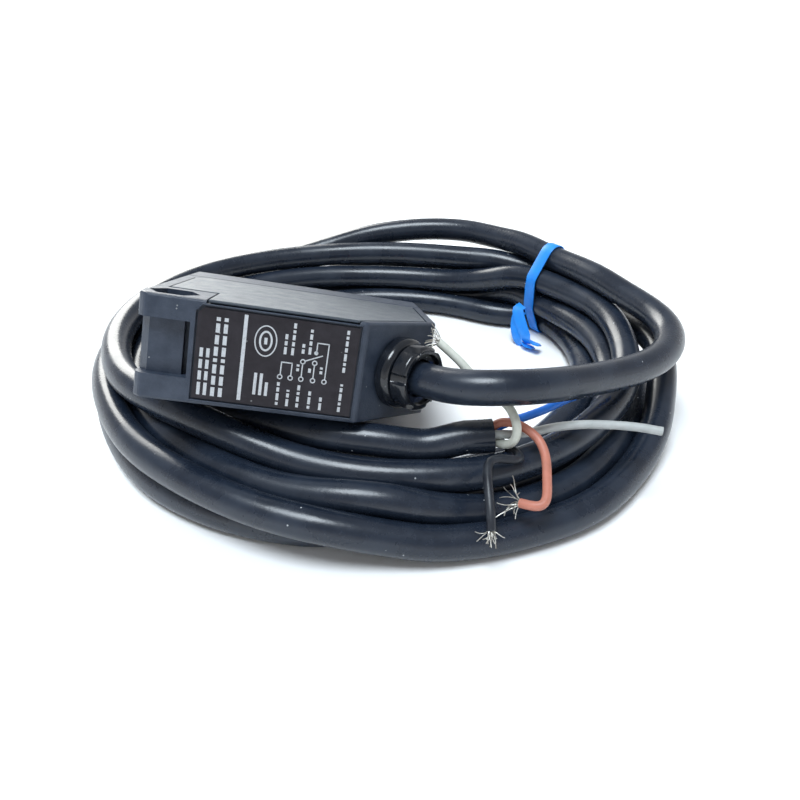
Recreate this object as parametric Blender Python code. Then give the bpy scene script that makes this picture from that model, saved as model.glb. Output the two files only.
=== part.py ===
"""Photoelectric sensor, 50 x 50 x 17.4 mm, with its 2 m five-core lead lying in a loose coil.

The sensor is modelled in its own frame and set down by one empty: X runs along the label face
from the adjuster end to the cable end, Y runs in from the label face to the lens face, and Z
runs across the width. The sensor leans on the coiled lead, with its lens side down.
"""
import math

import bmesh
import bpy
import numpy as np
from mathutils import Euler, Matrix, Vector

MM = 0.001

# Case, in the sensor's own frame
LENGTH = 50.0 * MM          # adjuster end to cable end
DEPTH = 50.0 * MM           # label face to lens face
WIDTH = 17.4 * MM
CORNER = 13.1 * MM          # legs of the 45 degree corner that holds the gland
EDGE = 1.2 * MM             # bevel along the label face's adjuster end
ROUND = 0.45 * MM           # rounding of the moulded edges
WALL = 1.6 * MM
GAP = 0.3 * MM              # between pieces that touch
SPLIT = 38.0 * MM           # where the lens case meets the rear case

# Mounting holes, for M4
HOLE_INSET = 4.8 * MM
HOLE_PITCH = 40.0 * MM
HOLE_RADIUS = 2.15 * MM
NUT_ACROSS_CORNERS = 8.3 * MM
NUT_DEPTH = 3.0 * MM
BLOCK = 10.4 * MM           # solid corner block round a mounting hole
INSERT_RADIUS = 2.9 * MM
INSERT_BORE = 1.65 * MM
INSERT_LENGTH = 8.0 * MM

# Side cover
COVER_NEAR = 2.0 * MM
COVER_LINE = 35.2 * MM      # x - y along the cover's edge by the gland wall
LIP_NEAR = 0.1 * MM         # the cover's thin lip, along the label face
LIP_FAR = 3.0 * MM

# Lens side
LENS_SPACING = 16.0 * MM
LENS_CENTRE = 20.5 * MM
LENS_RADIUS = 4.6 * MM
WINDOW_LENGTH = 35.4 * MM
WINDOW_MARGIN = 2.6 * MM
WINDOW_THICKNESS = 1.2 * MM

# Adjuster end
ADJUSTER_DEPTH = 16.5 * MM
SELECTOR_DEPTH = 25.5 * MM
INDICATOR_DEPTH = 32.6 * MM
DIAL_RADIUS = 2.8 * MM
DIAL_HOLE_RADIUS = 3.9 * MM
DIAL_HEIGHT = 1.9 * MM

# Gland and lead
GLAND_RADIUS = 6.3 * MM
RING_RADIUS = 5.7 * MM
CABLE_RADIUS = 3.0 * MM
CORE_RADIUS = 0.78 * MM
STRAND_RADIUS = 0.4 * MM
CABLE_STEP = 15.0 * MM
CORE_STEP = 3.0 * MM

# How the sensor lies on its coiled lead
SENSOR_PLACE = (-23.50 * MM, -27.31 * MM, 23.83 * MM)
SENSOR_TURN = (math.radians(-18.41), math.radians(9.76), math.radians(2.0))

# Coil, an oval ring on the floor
COIL_CENTRE = (14.4 * MM, 13.0 * MM)
COIL_OUTER = (62.5 * MM, 55.0 * MM)
COIL_INNER = (44.5 * MM, 36.0 * MM)
COIL_TURN = math.radians(-19.0)
COIL_SEGMENTS = 48
BACK_BEARING = 85.0         # degrees: the turns stand further out at the back
BACK_SPREAD = 30.0
BACK_BULGE = 0.085

# Routes, in mm on the floor's frame
LEAD_ROUTE = [
    (30.6, -24.8, 24.1), (36.4, -26.2, 24.9), (42.4, -24.9, 24.2), (48.5, -21.4, 22.7),
    (58.1, -14.8, 20.3), (68.6, -6.9, 18.6), (75.4, 2.2, 18.2), (77.0, 11.4, 18.6),
    (73.8, 20.6, 19.2), (68.0, 31.2, 19.6), (61.8, 43.0, 19.9), (57.4, 49.2, 20.1),
]
END_ROUTE = [
    (36.9, -23.6, 14.0), (29.0, -24.3, 14.0), (20.0, -25.0, 13.8), (11.0, -25.4, 13.8),
    (2.0, -25.0, 14.2), (-6.0, -23.8, 14.5), (-13.6, -20.8, 14.3),
    (-20.4, -16.6, 13.9),
]
CORE_ROUTES = {
    "brown": [
        (37.6, -22.9, 15.6), (39.2, -23.2, 16.0), (41.0, -24.2, 16.2), (42.9, -25.8, 15.8),
        (44.4, -27.6, 14.9), (45.0, -30.4, 13.6), (44.4, -34.4, 12.6), (43.4, -37.6, 11.4),
        (42.0, -38.9, 10.4), (39.9, -37.9, 10.2),
    ],
    "gray": [
        (37.6, -24.9, 14.6), (40.4, -23.9, 13.9), (43.8, -23.2, 13.9), (47.6, -22.8, 14.6),
        (52.4, -22.8, 15.2), (57.4, -23.2, 15.4), (62.0, -23.9, 15.4), (66.0, -24.9, 15.2),
    ],
    "white": [
        (37.6, -24.7, 12.7), (39.3, -26.3, 13.4), (40.4, -26.9, 15.4), (40.3, -26.0, 17.8),
        (39.2, -23.8, 19.5), (36.9, -20.9, 20.4), (33.8, -18.2, 22.0), (30.8, -15.8, 24.4),
        (27.6, -13.6, 26.6),
    ],
    "black": [
        (37.6, -23.0, 12.2), (39.6, -24.4, 11.6), (41.2, -26.9, 11.6), (40.4, -29.4, 12.4),
        (37.8, -30.3, 13.3), (35.8, -30.8, 13.4), (35.0, -32.8, 13.0), (34.9, -36.0, 11.8),
        (35.0, -39.2, 9.8), (35.1, -41.4, 7.4),
    ],
    "blue": [
        (37.6, -21.9, 13.9), (40.2, -20.7, 14.4), (43.6, -19.4, 14.8), (47.2, -17.4, 15.0),
        (50.6, -14.8, 15.0), (54.0, -12.0, 14.6), (57.8, -9.6, 14.4), (61.8, -7.8, 14.6),
    ],
}
TIE_PLACE = (57.2 * MM, 44.6 * MM)
TIE_BEARING = 37.0          # degrees round the coil
TIE_ALONG = (-0.60, 0.80, 0.0)
TIE_BAND = 2.6 * MM
TIE_THICKNESS = 0.7 * MM
TIE_ARCH = [                # across the bundle and up, in mm, inner side first
    (-7.2, 0.4), (-7.2, 12.0), (-6.4, 17.5), (-2.6, 22.4), (3.0, 24.0), (6.8, 22.2),
    (8.0, 17.0), (8.0, 0.4),
]

COLOURS = {
    "case": ((0.030, 0.034, 0.042), 0.55, 0.0),
    "cover": ((0.040, 0.045, 0.055), 0.50, 0.0),
    "label": ((0.020, 0.016, 0.015), 0.45, 0.0),
    "gland": ((0.008, 0.008, 0.010), 0.20, 0.0),
    "seal": ((0.012, 0.012, 0.012), 0.70, 0.0),
    "window": ((0.050, 0.010, 0.012), 0.10, 0.0),
    "lens": ((0.800, 0.820, 0.840), 0.05, 0.0),
    "polarizer": ((0.120, 0.120, 0.130), 0.15, 0.0),
    "board": ((0.020, 0.150, 0.060), 0.45, 0.0),
    "relay": ((0.030, 0.060, 0.300), 0.40, 0.0),
    "black_part": ((0.015, 0.015, 0.016), 0.40, 0.0),
    "copper": ((0.720, 0.330, 0.180), 0.35, 1.0),
    "steel": ((0.550, 0.560, 0.580), 0.30, 1.0),
    "varistor": ((0.050, 0.120, 0.450), 0.45, 0.0),
    "dial": ((0.750, 0.760, 0.750), 0.40, 0.0),
    "green": ((0.050, 0.550, 0.120), 0.25, 0.0),
    "orange": ((0.850, 0.250, 0.030), 0.25, 0.0),
    "jacket": ((0.012, 0.014, 0.019), 0.35, 0.0),
    "core_brown": ((0.430, 0.150, 0.090), 0.50, 0.0),
    "core_gray": ((0.480, 0.490, 0.480), 0.50, 0.0),
    "core_white": ((0.720, 0.720, 0.660), 0.50, 0.0),
    "core_black": ((0.020, 0.022, 0.026), 0.45, 0.0),
    "core_blue": ((0.020, 0.120, 0.550), 0.45, 0.0),
    "tie": ((0.010, 0.200, 0.700), 0.45, 0.0),
    "tinned": ((0.620, 0.610, 0.570), 0.35, 1.0),
}


def clear_scene():
    """Remove every object, mesh, curve and material of the open file."""
    for item in list(bpy.data.objects):
        bpy.data.objects.remove(item, do_unlink=True)
    for store in (bpy.data.meshes, bpy.data.curves, bpy.data.materials):
        for item in list(store):
            store.remove(item)


def material(slot):
    """Return the named material, made once from the table of colours."""
    found = bpy.data.materials.get(slot)
    if found:
        return found
    colour, roughness, metallic = COLOURS[slot]
    made = bpy.data.materials.new(slot)
    made.use_nodes = True
    shader = made.node_tree.nodes["Principled BSDF"]
    shader.inputs["Base Color"].default_value = (*colour, 1.0)
    shader.inputs["Roughness"].default_value = roughness
    shader.inputs["Metallic"].default_value = metallic
    return made


def add_object(name, data, slot=None, parent=None):
    """Link an object for the data, dressed and parented."""
    item = bpy.data.objects.new(name, data)
    bpy.context.collection.objects.link(item)
    if slot:
        data.materials.append(material(slot))
    if parent:
        item.parent = parent
    return item


def mesh_from(name, verts, faces):
    """Return a mesh with its faces pointing outwards."""
    mesh = bpy.data.meshes.new(name)
    mesh.from_pydata([tuple(v) for v in verts], [], faces)
    shape = bmesh.new()
    shape.from_mesh(mesh)
    bmesh.ops.recalc_face_normals(shape, faces=shape.faces)
    shape.to_mesh(mesh)
    shape.free()
    return mesh


def prism_mesh(name, outline, low, high, axis="Z"):
    """Return a mesh of a flat outline pulled from low to high along an axis."""
    count = len(outline)

    def place(u, v, w):
        return {"X": (w, u, v), "Y": (u, w, v), "Z": (u, v, w)}[axis]

    verts = [place(u, v, low) for u, v in outline] + [place(u, v, high) for u, v in outline]
    faces = [tuple(range(count)), tuple(range(count, 2 * count))]
    faces += [(i, (i + 1) % count, count + (i + 1) % count, count + i) for i in range(count)]
    return mesh_from(name, verts, faces)


def box_mesh(name, low, high):
    """Return a mesh of a box between two corners."""
    outline = [(low[0], low[1]), (high[0], low[1]), (high[0], high[1]), (low[0], high[1])]
    return prism_mesh(name, outline, low[2], high[2])


def turned_mesh(name, profile, segments=32):
    """Return a mesh of a closed profile of (radius, height) points spun about Z."""
    verts = []
    rings = []
    for radius, height in profile:
        if radius < 1e-9:
            rings.append([len(verts)])
            verts.append((0.0, 0.0, height))
            continue
        rings.append(list(range(len(verts), len(verts) + segments)))
        for step in range(segments):
            angle = 2.0 * math.pi * step / segments
            verts.append((radius * math.cos(angle), radius * math.sin(angle), height))
    faces = []
    for index, ring in enumerate(rings):
        after = rings[(index + 1) % len(rings)]
        for step in range(segments):
            corners = [ring[step % len(ring)], ring[(step + 1) % len(ring)],
                       after[(step + 1) % len(after)], after[step % len(after)]]
            face = list(dict.fromkeys(corners))
            if len(face) > 2:
                faces.append(face)
    return mesh_from(name, verts, faces)


def facing(direction):
    """Return the rotation that turns +Z to a direction."""
    return Vector(direction).to_track_quat("Z", "Y").to_euler()


def cut(item, cutter, parent=None):
    """Subtract a hidden cutter object from an item."""
    cutter.hide_render = True
    cutter.display_type = "WIRE"
    if parent:
        cutter.parent = parent
    modifier = item.modifiers.new("Cut", "BOOLEAN")
    modifier.operation = "DIFFERENCE"
    modifier.solver = "EXACT"
    modifier.object = cutter


def round_edges(item, width=ROUND, segments=2):
    """Round the sharp edges of an item."""
    bevel = item.modifiers.new("Round", "BEVEL")
    bevel.width = width
    bevel.segments = segments
    bevel.limit_method = "ANGLE"
    bevel.angle_limit = math.radians(40)


def smooth(item):
    """Shade an item smooth across its shallow edges."""
    item.data.shade_smooth()
    item.data.set_sharp_from_angle(angle=math.radians(35))


def disc_cutter(name, place, direction, radius, length, segments=32):
    """Return a cylinder centred at a place, to cut a round hole along a direction."""
    half = length / 2
    mesh = turned_mesh(name, [(0, -half), (radius, -half), (radius, half), (0, half)], segments)
    item = add_object(name, mesh)
    item.location = place
    item.rotation_euler = facing(direction)
    return item


def smooth_route(points, step):
    """Return evenly spaced points on a smooth curve through the given points, in metres."""
    given = np.array(points, float) * MM
    ends = np.vstack([2 * given[0] - given[1], given, 2 * given[-1] - given[-2]])
    fine = []
    for index in range(1, len(ends) - 2):
        before, start, stop, after = ends[index - 1:index + 3]
        for t in np.linspace(0.0, 1.0, 24, endpoint=False):
            fine.append(0.5 * (2 * start + (stop - before) * t
                               + (2 * before - 5 * start + 4 * stop - after) * t ** 2
                               + (3 * start - before - 3 * stop + after) * t ** 3))
    fine = np.array(fine + [given[-1]])
    run = np.concatenate([[0.0], np.cumsum(np.linalg.norm(np.diff(fine, axis=0), axis=1))])
    count = max(3, int(round(run[-1] / step)) + 1)
    marks = np.linspace(0.0, run[-1], count)
    return np.column_stack([np.interp(marks, run, fine[:, axis]) for axis in range(3)])


def tube(name, points, radius, slot, sides=4):
    """Make a round tube along points."""
    curve = bpy.data.curves.new(name, "CURVE")
    curve.dimensions = "3D"
    curve.bevel_depth = radius
    curve.bevel_resolution = sides
    curve.use_fill_caps = True
    spline = curve.splines.new("POLY")
    spline.points.add(len(points) - 1)
    for point, place in zip(spline.points, points):
        point.co = (*place, 1.0)
    return add_object(name, curve, slot)


class Sensor:
    """The sensor's own pieces, built in its frame under one empty."""

    def __init__(self):
        self.seat = bpy.data.objects.new("sensor_seat", None)
        bpy.context.collection.objects.link(self.seat)
        self.seat.location = SENSOR_PLACE
        self.seat.rotation_euler = Euler(SENSOR_TURN)
        self.middle = WIDTH / 2
        self.gland_centre = Vector((LENGTH - CORNER / 2, CORNER / 2, self.middle))
        self.gland_axis = Vector((1.0, -1.0, 0.0)).normalized()

    def solid(self, name, mesh, slot):
        """Add a mesh as a piece of the sensor."""
        return add_object(name, mesh, slot, self.seat)

    def turned(self, name, profile, place, direction, slot, segments=32):
        """Add a turned piece with its base at a place and its axis along a direction."""
        item = self.solid(name, turned_mesh(name, profile, segments), slot)
        item.location = place
        item.rotation_euler = facing(direction)
        smooth(item)
        return item

    def drill(self, item, name, place, direction, radius, length, segments=32):
        """Cut a round hole in an item."""
        cut(item, disc_cutter(name, place, direction, radius, length, segments), self.seat)

    def mill(self, item, name, mesh):
        """Cut a mesh's shape out of an item."""
        cut(item, add_object(name, mesh), self.seat)

    def build(self):
        """Build every piece of the sensor."""
        self.rear_case()
        self.side_cover()
        self.front_case()
        self.window()
        self.optics()
        self.boards()
        self.dials()
        self.indicators()
        self.label()
        self.gland()

    def cavity_outline(self, inset, stop):
        """Return the inner outline of the rear case, stepped round the mounting block."""
        slope = inset * math.tan(math.radians(22.5))
        return [(BLOCK, inset), (LENGTH - CORNER - slope, inset),
                (LENGTH - inset, CORNER + slope), (LENGTH - inset, stop), (inset, stop),
                (inset, BLOCK), (BLOCK, BLOCK)]

    def rear_case(self):
        """Make the hollow rear case, open to the lens side and under the side cover."""
        outline = [(EDGE, 0), (LENGTH - CORNER, 0), (LENGTH, CORNER), (LENGTH, SPLIT),
                   (0, SPLIT), (0, EDGE)]
        case = self.solid("rear_case", prism_mesh("rear_case", outline, 0, WIDTH), "case")
        round_edges(case)
        cavity = self.cavity_outline(WALL, SPLIT + MM)
        self.mill(case, "cut_cavity", prism_mesh("cut_cavity", cavity, WALL, WIDTH - WALL))
        self.mill(case, "cut_cover_opening",
                  prism_mesh("cut_cover_opening", self.cover_outline(1.2 * MM),
                             WIDTH - 2 * WALL, WIDTH + MM))
        self.mill(case, "cut_cover_seat",
                  prism_mesh("cut_cover_seat", self.cover_outline(-GAP),
                             WIDTH - 1.1 * MM, WIDTH + MM))
        self.mill(case, "cut_lip_seat",
                  prism_mesh("cut_lip_seat", self.lip_outline(-0.8 * GAP), WIDTH - 0.6 * MM,
                             WIDTH + MM))
        self.mounting_hole(case, HOLE_INSET, HOLE_INSET, "rear")
        self.notch(case)
        self.mill(case, "cut_label_seat",
                  prism_mesh("cut_label_seat", self.label_outline(-GAP), -MM, 0.55 * MM, "Y"))
        for name, depth in (("adjuster", ADJUSTER_DEPTH), ("selector", SELECTOR_DEPTH)):
            self.drill(case, "cut_" + name, (0, depth, self.middle), (1, 0, 0),
                       DIAL_HOLE_RADIUS, 4 * MM)
        for name, side in (("stability", -1), ("operation", 1)):
            across = self.middle + side * 3.6 * MM
            low = (-MM, INDICATOR_DEPTH - 1.8 * MM, across - 1.6 * MM)
            high = (2 * MM, INDICATOR_DEPTH + 1.8 * MM, across + 1.6 * MM)
            self.mill(case, "cut_" + name, box_mesh("cut_" + name, low, high))
        self.drill(case, "cut_gland", self.gland_centre, self.gland_axis, 4.5 * MM, 6 * MM)

    def notch(self, case):
        """Cut the notch at the adjuster end: a bevelled shelf, a slot and a thin end relief."""
        outline = [(-MM, -MM), (8.5 * MM, -MM), (8.5 * MM, 3.6 * MM), (7.3 * MM, 3.6 * MM),
                   (7.3 * MM, 2.0 * MM), (1.7 * MM, 2.0 * MM), (0.3 * MM, 3.4 * MM),
                   (0.3 * MM, 8.6 * MM), (-MM, 8.6 * MM)]
        self.mill(case, "cut_notch", prism_mesh("cut_notch", outline, 4.2 * MM, 13.5 * MM))

    def mounting_hole(self, item, across, depth, end):
        """Cut an M4 hole with a nut pocket in the side that the cover is on."""
        place = (across, depth, self.middle)
        self.drill(item, "cut_bolt_" + end, place, (0, 0, 1), HOLE_RADIUS, WIDTH + 2 * MM, 24)
        pocket = disc_cutter("cut_nut_" + end, (across, depth, WIDTH), (0, 0, 1),
                             NUT_ACROSS_CORNERS / 2, 2 * NUT_DEPTH, 6)
        pocket.rotation_euler = (0, 0, 0)
        cut(item, pocket, self.seat)

    def cover_outline(self, inset, near=COVER_NEAR):
        """Return the outline of the side cover, shrunk by an inset."""
        near += inset
        low = 2.6 * MM + inset
        far = SPLIT - 2.2 * MM - inset
        end = LENGTH - 2.0 * MM - inset
        clip = 2.4 * MM
        step = BLOCK + 0.6 * MM + inset
        line = COVER_LINE - inset * math.sqrt(2)
        return [(step, near), (line + near, near), (end, end - line), (end, far),
                (low + clip, far), (low, far - clip), (low, step), (step, step)]

    def lip_outline(self, inset):
        """Return the outline of the cover's thin lip, grown or shrunk on its outer sides."""
        near = LIP_NEAR + inset
        step = BLOCK + 0.6 * MM + inset
        line = COVER_LINE - inset * math.sqrt(2)
        return [(step, near), (line + near, near), (line + LIP_FAR, LIP_FAR), (step, LIP_FAR)]

    def side_cover(self):
        """Make the cover that closes the side of the rear case, with a thin lip at its near edge."""
        mesh = prism_mesh("side_cover", self.cover_outline(0, LIP_NEAR), WIDTH - 0.8 * MM,
                          WIDTH + 0.1 * MM)
        cover = self.solid("side_cover", mesh, "cover")
        self.mill(cover, "cut_under_lip",
                  box_mesh("cut_under_lip", (BLOCK, -MM, WIDTH - 2 * MM),
                           (LENGTH, COVER_NEAR, WIDTH - 0.4 * MM)))
        round_edges(cover, 0.15 * MM, 1)

    def front_case(self):
        """Make the lens case, with a lip that plugs into the rear case."""
        start = SPLIT + GAP
        low = (0, start, 0)
        case = self.solid("front_case", box_mesh("front_case", low, (LENGTH, DEPTH, WIDTH)),
                          "case")
        round_edges(case)
        lip_wall = WALL + GAP
        lip = add_object("lip", box_mesh("lip", (lip_wall, SPLIT - 2 * MM, lip_wall),
                                         (LENGTH - lip_wall, start + 0.5 * MM,
                                          WIDTH - lip_wall)))
        lip.parent = self.seat
        lip.hide_render = True
        lip.display_type = "WIRE"
        join = case.modifiers.new("Lip", "BOOLEAN")
        join.operation = "UNION"
        join.solver = "EXACT"
        join.object = lip
        inner = 3.2 * MM
        self.mill(case, "cut_light_way",
                  box_mesh("cut_light_way", (inner, SPLIT - 3 * MM, inner),
                           (LENGTH - BLOCK - 2 * MM, DEPTH + MM, WIDTH - inner)))
        margin = WINDOW_MARGIN - GAP
        self.mill(case, "cut_window_seat",
                  box_mesh("cut_window_seat", (margin, DEPTH - 2.4 * MM, margin - 0.6 * MM),
                           (WINDOW_MARGIN + WINDOW_LENGTH + GAP, DEPTH + MM,
                            WIDTH - margin + 0.6 * MM)))
        self.insert(case, HOLE_INSET + HOLE_PITCH)

    def insert(self, case, far):
        """Cut the blind hole in the far corner and make the threaded insert in it."""
        place = (far, far, 0)
        self.drill(case, "cut_insert", place, (0, 0, 1), INSERT_RADIUS + GAP,
                   2 * (INSERT_LENGTH + 2 * GAP))
        self.drill(case, "cut_bolt_front", place, (0, 0, 1), HOLE_RADIUS, 26 * MM, 24)
        self.turned("threaded_insert",
                    [(INSERT_BORE, 0), (INSERT_RADIUS, 0), (INSERT_RADIUS, INSERT_LENGTH),
                     (INSERT_BORE, INSERT_LENGTH)], (far, far, GAP), (0, 0, 1), "steel", 24)

    def window(self):
        """Make the front window and the seal behind it."""
        side = WINDOW_MARGIN - 0.6 * MM
        low = (WINDOW_MARGIN, DEPTH - WINDOW_THICKNESS - 0.3 * MM, side)
        high = (WINDOW_MARGIN + WINDOW_LENGTH, DEPTH - 0.3 * MM, WIDTH - side)
        pane = self.solid("front_window", box_mesh("front_window", low, high), "window")
        round_edges(pane, 0.3 * MM, 2)
        back = DEPTH - 2.1 * MM
        seal = self.solid("window_seal",
                          box_mesh("window_seal", (low[0], back, low[2]),
                                   (high[0], back + 0.3 * MM, high[2])), "seal")
        self.mill(seal, "cut_seal",
                  box_mesh("cut_seal", (low[0] + MM, back - MM, low[2] + MM),
                           (high[0] - MM, back + MM, high[2] - MM)))

    def optics(self):
        """Make the lens holder, its lenses and filters, the emitter and the receiver."""
        holder = self.solid("lens_holder",
                            box_mesh("lens_holder", (4.2 * MM, 29 * MM, 3.6 * MM),
                                     (37.2 * MM, 47.2 * MM, WIDTH - 3.6 * MM)), "black_part")
        for name, side in (("emitter", -1), ("receiver", 1)):
            centre = LENS_CENTRE + side * LENS_SPACING / 2
            self.drill(holder, "cut_way_" + name, (centre, 38 * MM, self.middle), (0, 1, 0),
                       3.4 * MM, 24 * MM)
            self.drill(holder, "cut_seat_" + name, (centre, 46 * MM, self.middle), (0, 1, 0),
                       LENS_RADIUS + GAP, 12 * MM)
            edge = 1.1 * MM
            crown = 2.6 * MM
            bulge = [(LENS_RADIUS * math.cos(a), edge + crown * math.sin(a))
                     for a in np.linspace(0, math.pi / 2, 6)[:-1]]
            profile = [(0, 0), (LENS_RADIUS, 0), *bulge, (0, edge + crown)]
            self.turned(name + "_lens", profile, (centre, 41 * MM, self.middle), (0, 1, 0),
                        "lens")
            disc = [(0, 0), (LENS_RADIUS, 0), (LENS_RADIUS, 0.5 * MM), (0, 0.5 * MM)]
            self.turned(name + "_filter", disc, (centre, 46 * MM, self.middle), (0, 1, 0),
                        "polarizer")
        emitter = LENS_CENTRE - LENS_SPACING / 2
        dome = [(0, 0), (1.9 * MM, 0), (1.9 * MM, 0.8 * MM), (1.5 * MM, 0.8 * MM),
                (1.5 * MM, 3 * MM), (1.0 * MM, 4 * MM), (0, 4.4 * MM)]
        self.turned("emitter_led", dome, (emitter, 29.3 * MM, self.middle), (0, 1, 0),
                    "lens", 20)
        receiver = LENS_CENTRE + LENS_SPACING / 2
        self.solid("receiver_photodiode",
                   box_mesh("receiver_photodiode",
                            (receiver - 1.5 * MM, 30.2 * MM, self.middle - 1.5 * MM),
                            (receiver + 1.5 * MM, 31.8 * MM, self.middle + 1.5 * MM)),
                   "black_part")
        can_low = (receiver - 2.3 * MM, 29.2 * MM, self.middle - 2.3 * MM)
        can_high = (receiver + 2.3 * MM, 33.0 * MM, self.middle + 2.3 * MM)
        can = self.solid("shield_can", box_mesh("shield_can", can_low, can_high), "steel")
        self.mill(can, "cut_can",
                  box_mesh("cut_can", tuple(v + 0.3 * MM for v in can_low),
                           (can_high[0] - 0.3 * MM, DEPTH, can_high[2] - 0.3 * MM)))

    def boards(self):
        """Make the two boards and the supply and output parts that stand on them."""
        self.solid("main_board", box_mesh("main_board", (2.6 * MM, 11.6 * MM, 2.2 * MM),
                                          (45.6 * MM, 28.4 * MM, 3.4 * MM)), "board")
        self.solid("power_board", box_mesh("power_board", (12 * MM, 2.2 * MM, 2.4 * MM),
                                           (33 * MM, 3.2 * MM, 14.6 * MM)), "board")
        relay = self.solid("output_relay",
                           box_mesh("output_relay", (25.6 * MM, 14.6 * MM, 3.9 * MM),
                                    (43.6 * MM, 28.2 * MM, 13.6 * MM)), "relay")
        round_edges(relay, 0.4 * MM, 1)
        self.turned("supply_choke",
                    [(0, 0), (3.9 * MM, 0), (3.9 * MM, MM), (2.9 * MM, MM),
                     (2.9 * MM, 6 * MM), (3.9 * MM, 6 * MM), (3.9 * MM, 7 * MM), (0, 7 * MM)],
                    (19.4 * MM, 22.6 * MM, 3.9 * MM), (0, 0, 1), "copper", 24)
        self.turned("filter_capacitor",
                    [(0, 0), (2.9 * MM, 0), (2.9 * MM, 10 * MM), (0, 10 * MM)],
                    (13 * MM, 7 * MM, 6.4 * MM), (1, 0, 0), "black_part", 24)
        self.turned("varistor", [(0, 0), (3.3 * MM, 0), (3.3 * MM, 2.2 * MM), (0, 2.2 * MM)],
                    (29 * MM, 3.8 * MM, 8.7 * MM), (0, 1, 0), "varistor", 24)

    def dials(self):
        """Make the sensitivity adjuster and the operation selector, each on its own axis."""
        seal = [(3.1 * MM, 0), (3.6 * MM, 0), (3.6 * MM, 0.6 * MM), (3.1 * MM, 0.6 * MM)]
        for name, control, depth in (
                ("sensitivity_adjuster", "sensitivity_potentiometer", ADJUSTER_DEPTH),
                ("operation_selector", "selector_switch", SELECTOR_DEPTH)):
            place = (0.3 * MM, depth, self.middle)
            profile = [(0, 0), (DIAL_RADIUS - 0.2 * MM, 0), (DIAL_RADIUS, 0.2 * MM),
                       (DIAL_RADIUS, DIAL_HEIGHT), (0.9 * MM, DIAL_HEIGHT),
                       (0.9 * MM, DIAL_HEIGHT + 2.6 * MM), (0, DIAL_HEIGHT + 2.6 * MM)]
            dial = self.turned(name, profile, place, (1, 0, 0), "dial")
            slot = 0.4 * MM
            length = DIAL_RADIUS - 0.5 * MM
            self.mill(dial, "cut_slot_" + name,
                      box_mesh("cut_slot_" + name,
                               (-MM, depth - slot, self.middle - length),
                               (0.3 * MM + 0.9 * MM, depth + slot, self.middle + length)))
            ring = "adjuster_seal" if name.startswith("sens") else "selector_seal"
            self.turned(ring, seal, (0.8 * MM, depth, self.middle), (1, 0, 0), "seal", 24)
            body = self.solid(control,
                              box_mesh(control, (3.0 * MM, depth - 3.4 * MM, 5.2 * MM),
                                       (8.2 * MM, depth + 3.4 * MM, 12.2 * MM)), "black_part")
            self.drill(body, "cut_shaft_" + control, (3 * MM, depth, self.middle), (1, 0, 0),
                       1.2 * MM, 6 * MM, 20)

    def indicators(self):
        """Make the two light guides and the lamps behind them."""
        for name, side, colour in (("stability", -1, "green"), ("operation", 1, "orange")):
            across = self.middle + side * 3.6 * MM
            guide = self.solid(name + "_indicator",
                               box_mesh(name + "_indicator",
                                        (0.1 * MM, INDICATOR_DEPTH - 1.5 * MM,
                                         across - 1.3 * MM),
                                        (2.6 * MM, INDICATOR_DEPTH + 1.5 * MM,
                                         across + 1.3 * MM)), colour)
            round_edges(guide, 0.15 * MM, 1)
            self.solid(name + "_lamp",
                       box_mesh(name + "_lamp",
                                (2.9 * MM, INDICATOR_DEPTH - 0.8 * MM, across - 0.6 * MM),
                                (3.7 * MM, INDICATOR_DEPTH + 0.8 * MM, across + 0.6 * MM)),
                       colour)

    def label_outline(self, inset):
        """Return the label's outline in X and Z, clipped at two corners."""
        start = 9.6 * MM + inset
        stop = 35.8 * MM - inset
        low = 1.1 * MM + inset
        high = 16.2 * MM - inset
        clip = MM
        return [(start, low), (stop, low), (stop, high), (start + clip, high),
                (start, high - clip)]

    def label(self):
        """Make the data label in its recess."""
        mesh = prism_mesh("data_label", self.label_outline(0), 0.02 * MM, 0.25 * MM, "Y")
        self.solid("data_label", mesh, "label")

    def gland(self):
        """Make the gland boss, its notched ring and the clamp inside."""
        self.turned("gland_boss",
                    [(4.6 * MM, 0), (GLAND_RADIUS, 0), (GLAND_RADIUS, 1.6 * MM),
                     (GLAND_RADIUS - 0.8 * MM, 2.6 * MM), (4.6 * MM, 2.6 * MM)],
                    self.gland_centre + self.gland_axis * GAP, self.gland_axis, "gland")
        bore = CABLE_RADIUS + GAP
        ring = self.turned("gland_ring",
                           [(bore, -2.6 * MM), (4.2 * MM, -2.6 * MM), (4.2 * MM, 3.2 * MM),
                            (RING_RADIUS, 3.2 * MM), (RING_RADIUS, 5.8 * MM),
                            (RING_RADIUS - 0.4 * MM, 6.2 * MM), (bore, 6.2 * MM)],
                           self.gland_centre, self.gland_axis, "gland")
        turn = facing(self.gland_axis).to_matrix()
        for step in range(6):
            angle = math.radians(60 * step + 30)
            out = turn @ Vector((math.cos(angle), math.sin(angle), 0))
            place = self.gland_centre + self.gland_axis * 5.4 * MM + out * RING_RADIUS
            notch = add_object("cut_ring_%d" % step,
                               box_mesh("cut_ring_%d" % step, (-0.9 * MM, -0.9 * MM, -1.4 * MM),
                                        (0.9 * MM, 0.9 * MM, 1.4 * MM)))
            spin = Matrix.Rotation(angle, 3, "Z")
            notch.rotation_euler = (turn @ spin).to_euler()
            notch.location = place
            cut(ring, notch, self.seat)
        self.turned("cable_clamp",
                    [(bore, -5.4 * MM), (4.6 * MM, -5.4 * MM), (4.6 * MM, -2.9 * MM),
                     (bore, -2.9 * MM)], self.gland_centre, self.gland_axis, "steel", 24)

    def cable_start(self):
        """Return two points in mm, inside the gland and just past it, on the floor's frame."""
        turn = Euler(SENSOR_TURN).to_matrix()
        place = Vector(SENSOR_PLACE)
        return [tuple((place + turn @ (self.gland_centre + self.gland_axis * reach)) / MM)
                for reach in (1.0 * MM, 8.0 * MM)]


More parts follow.
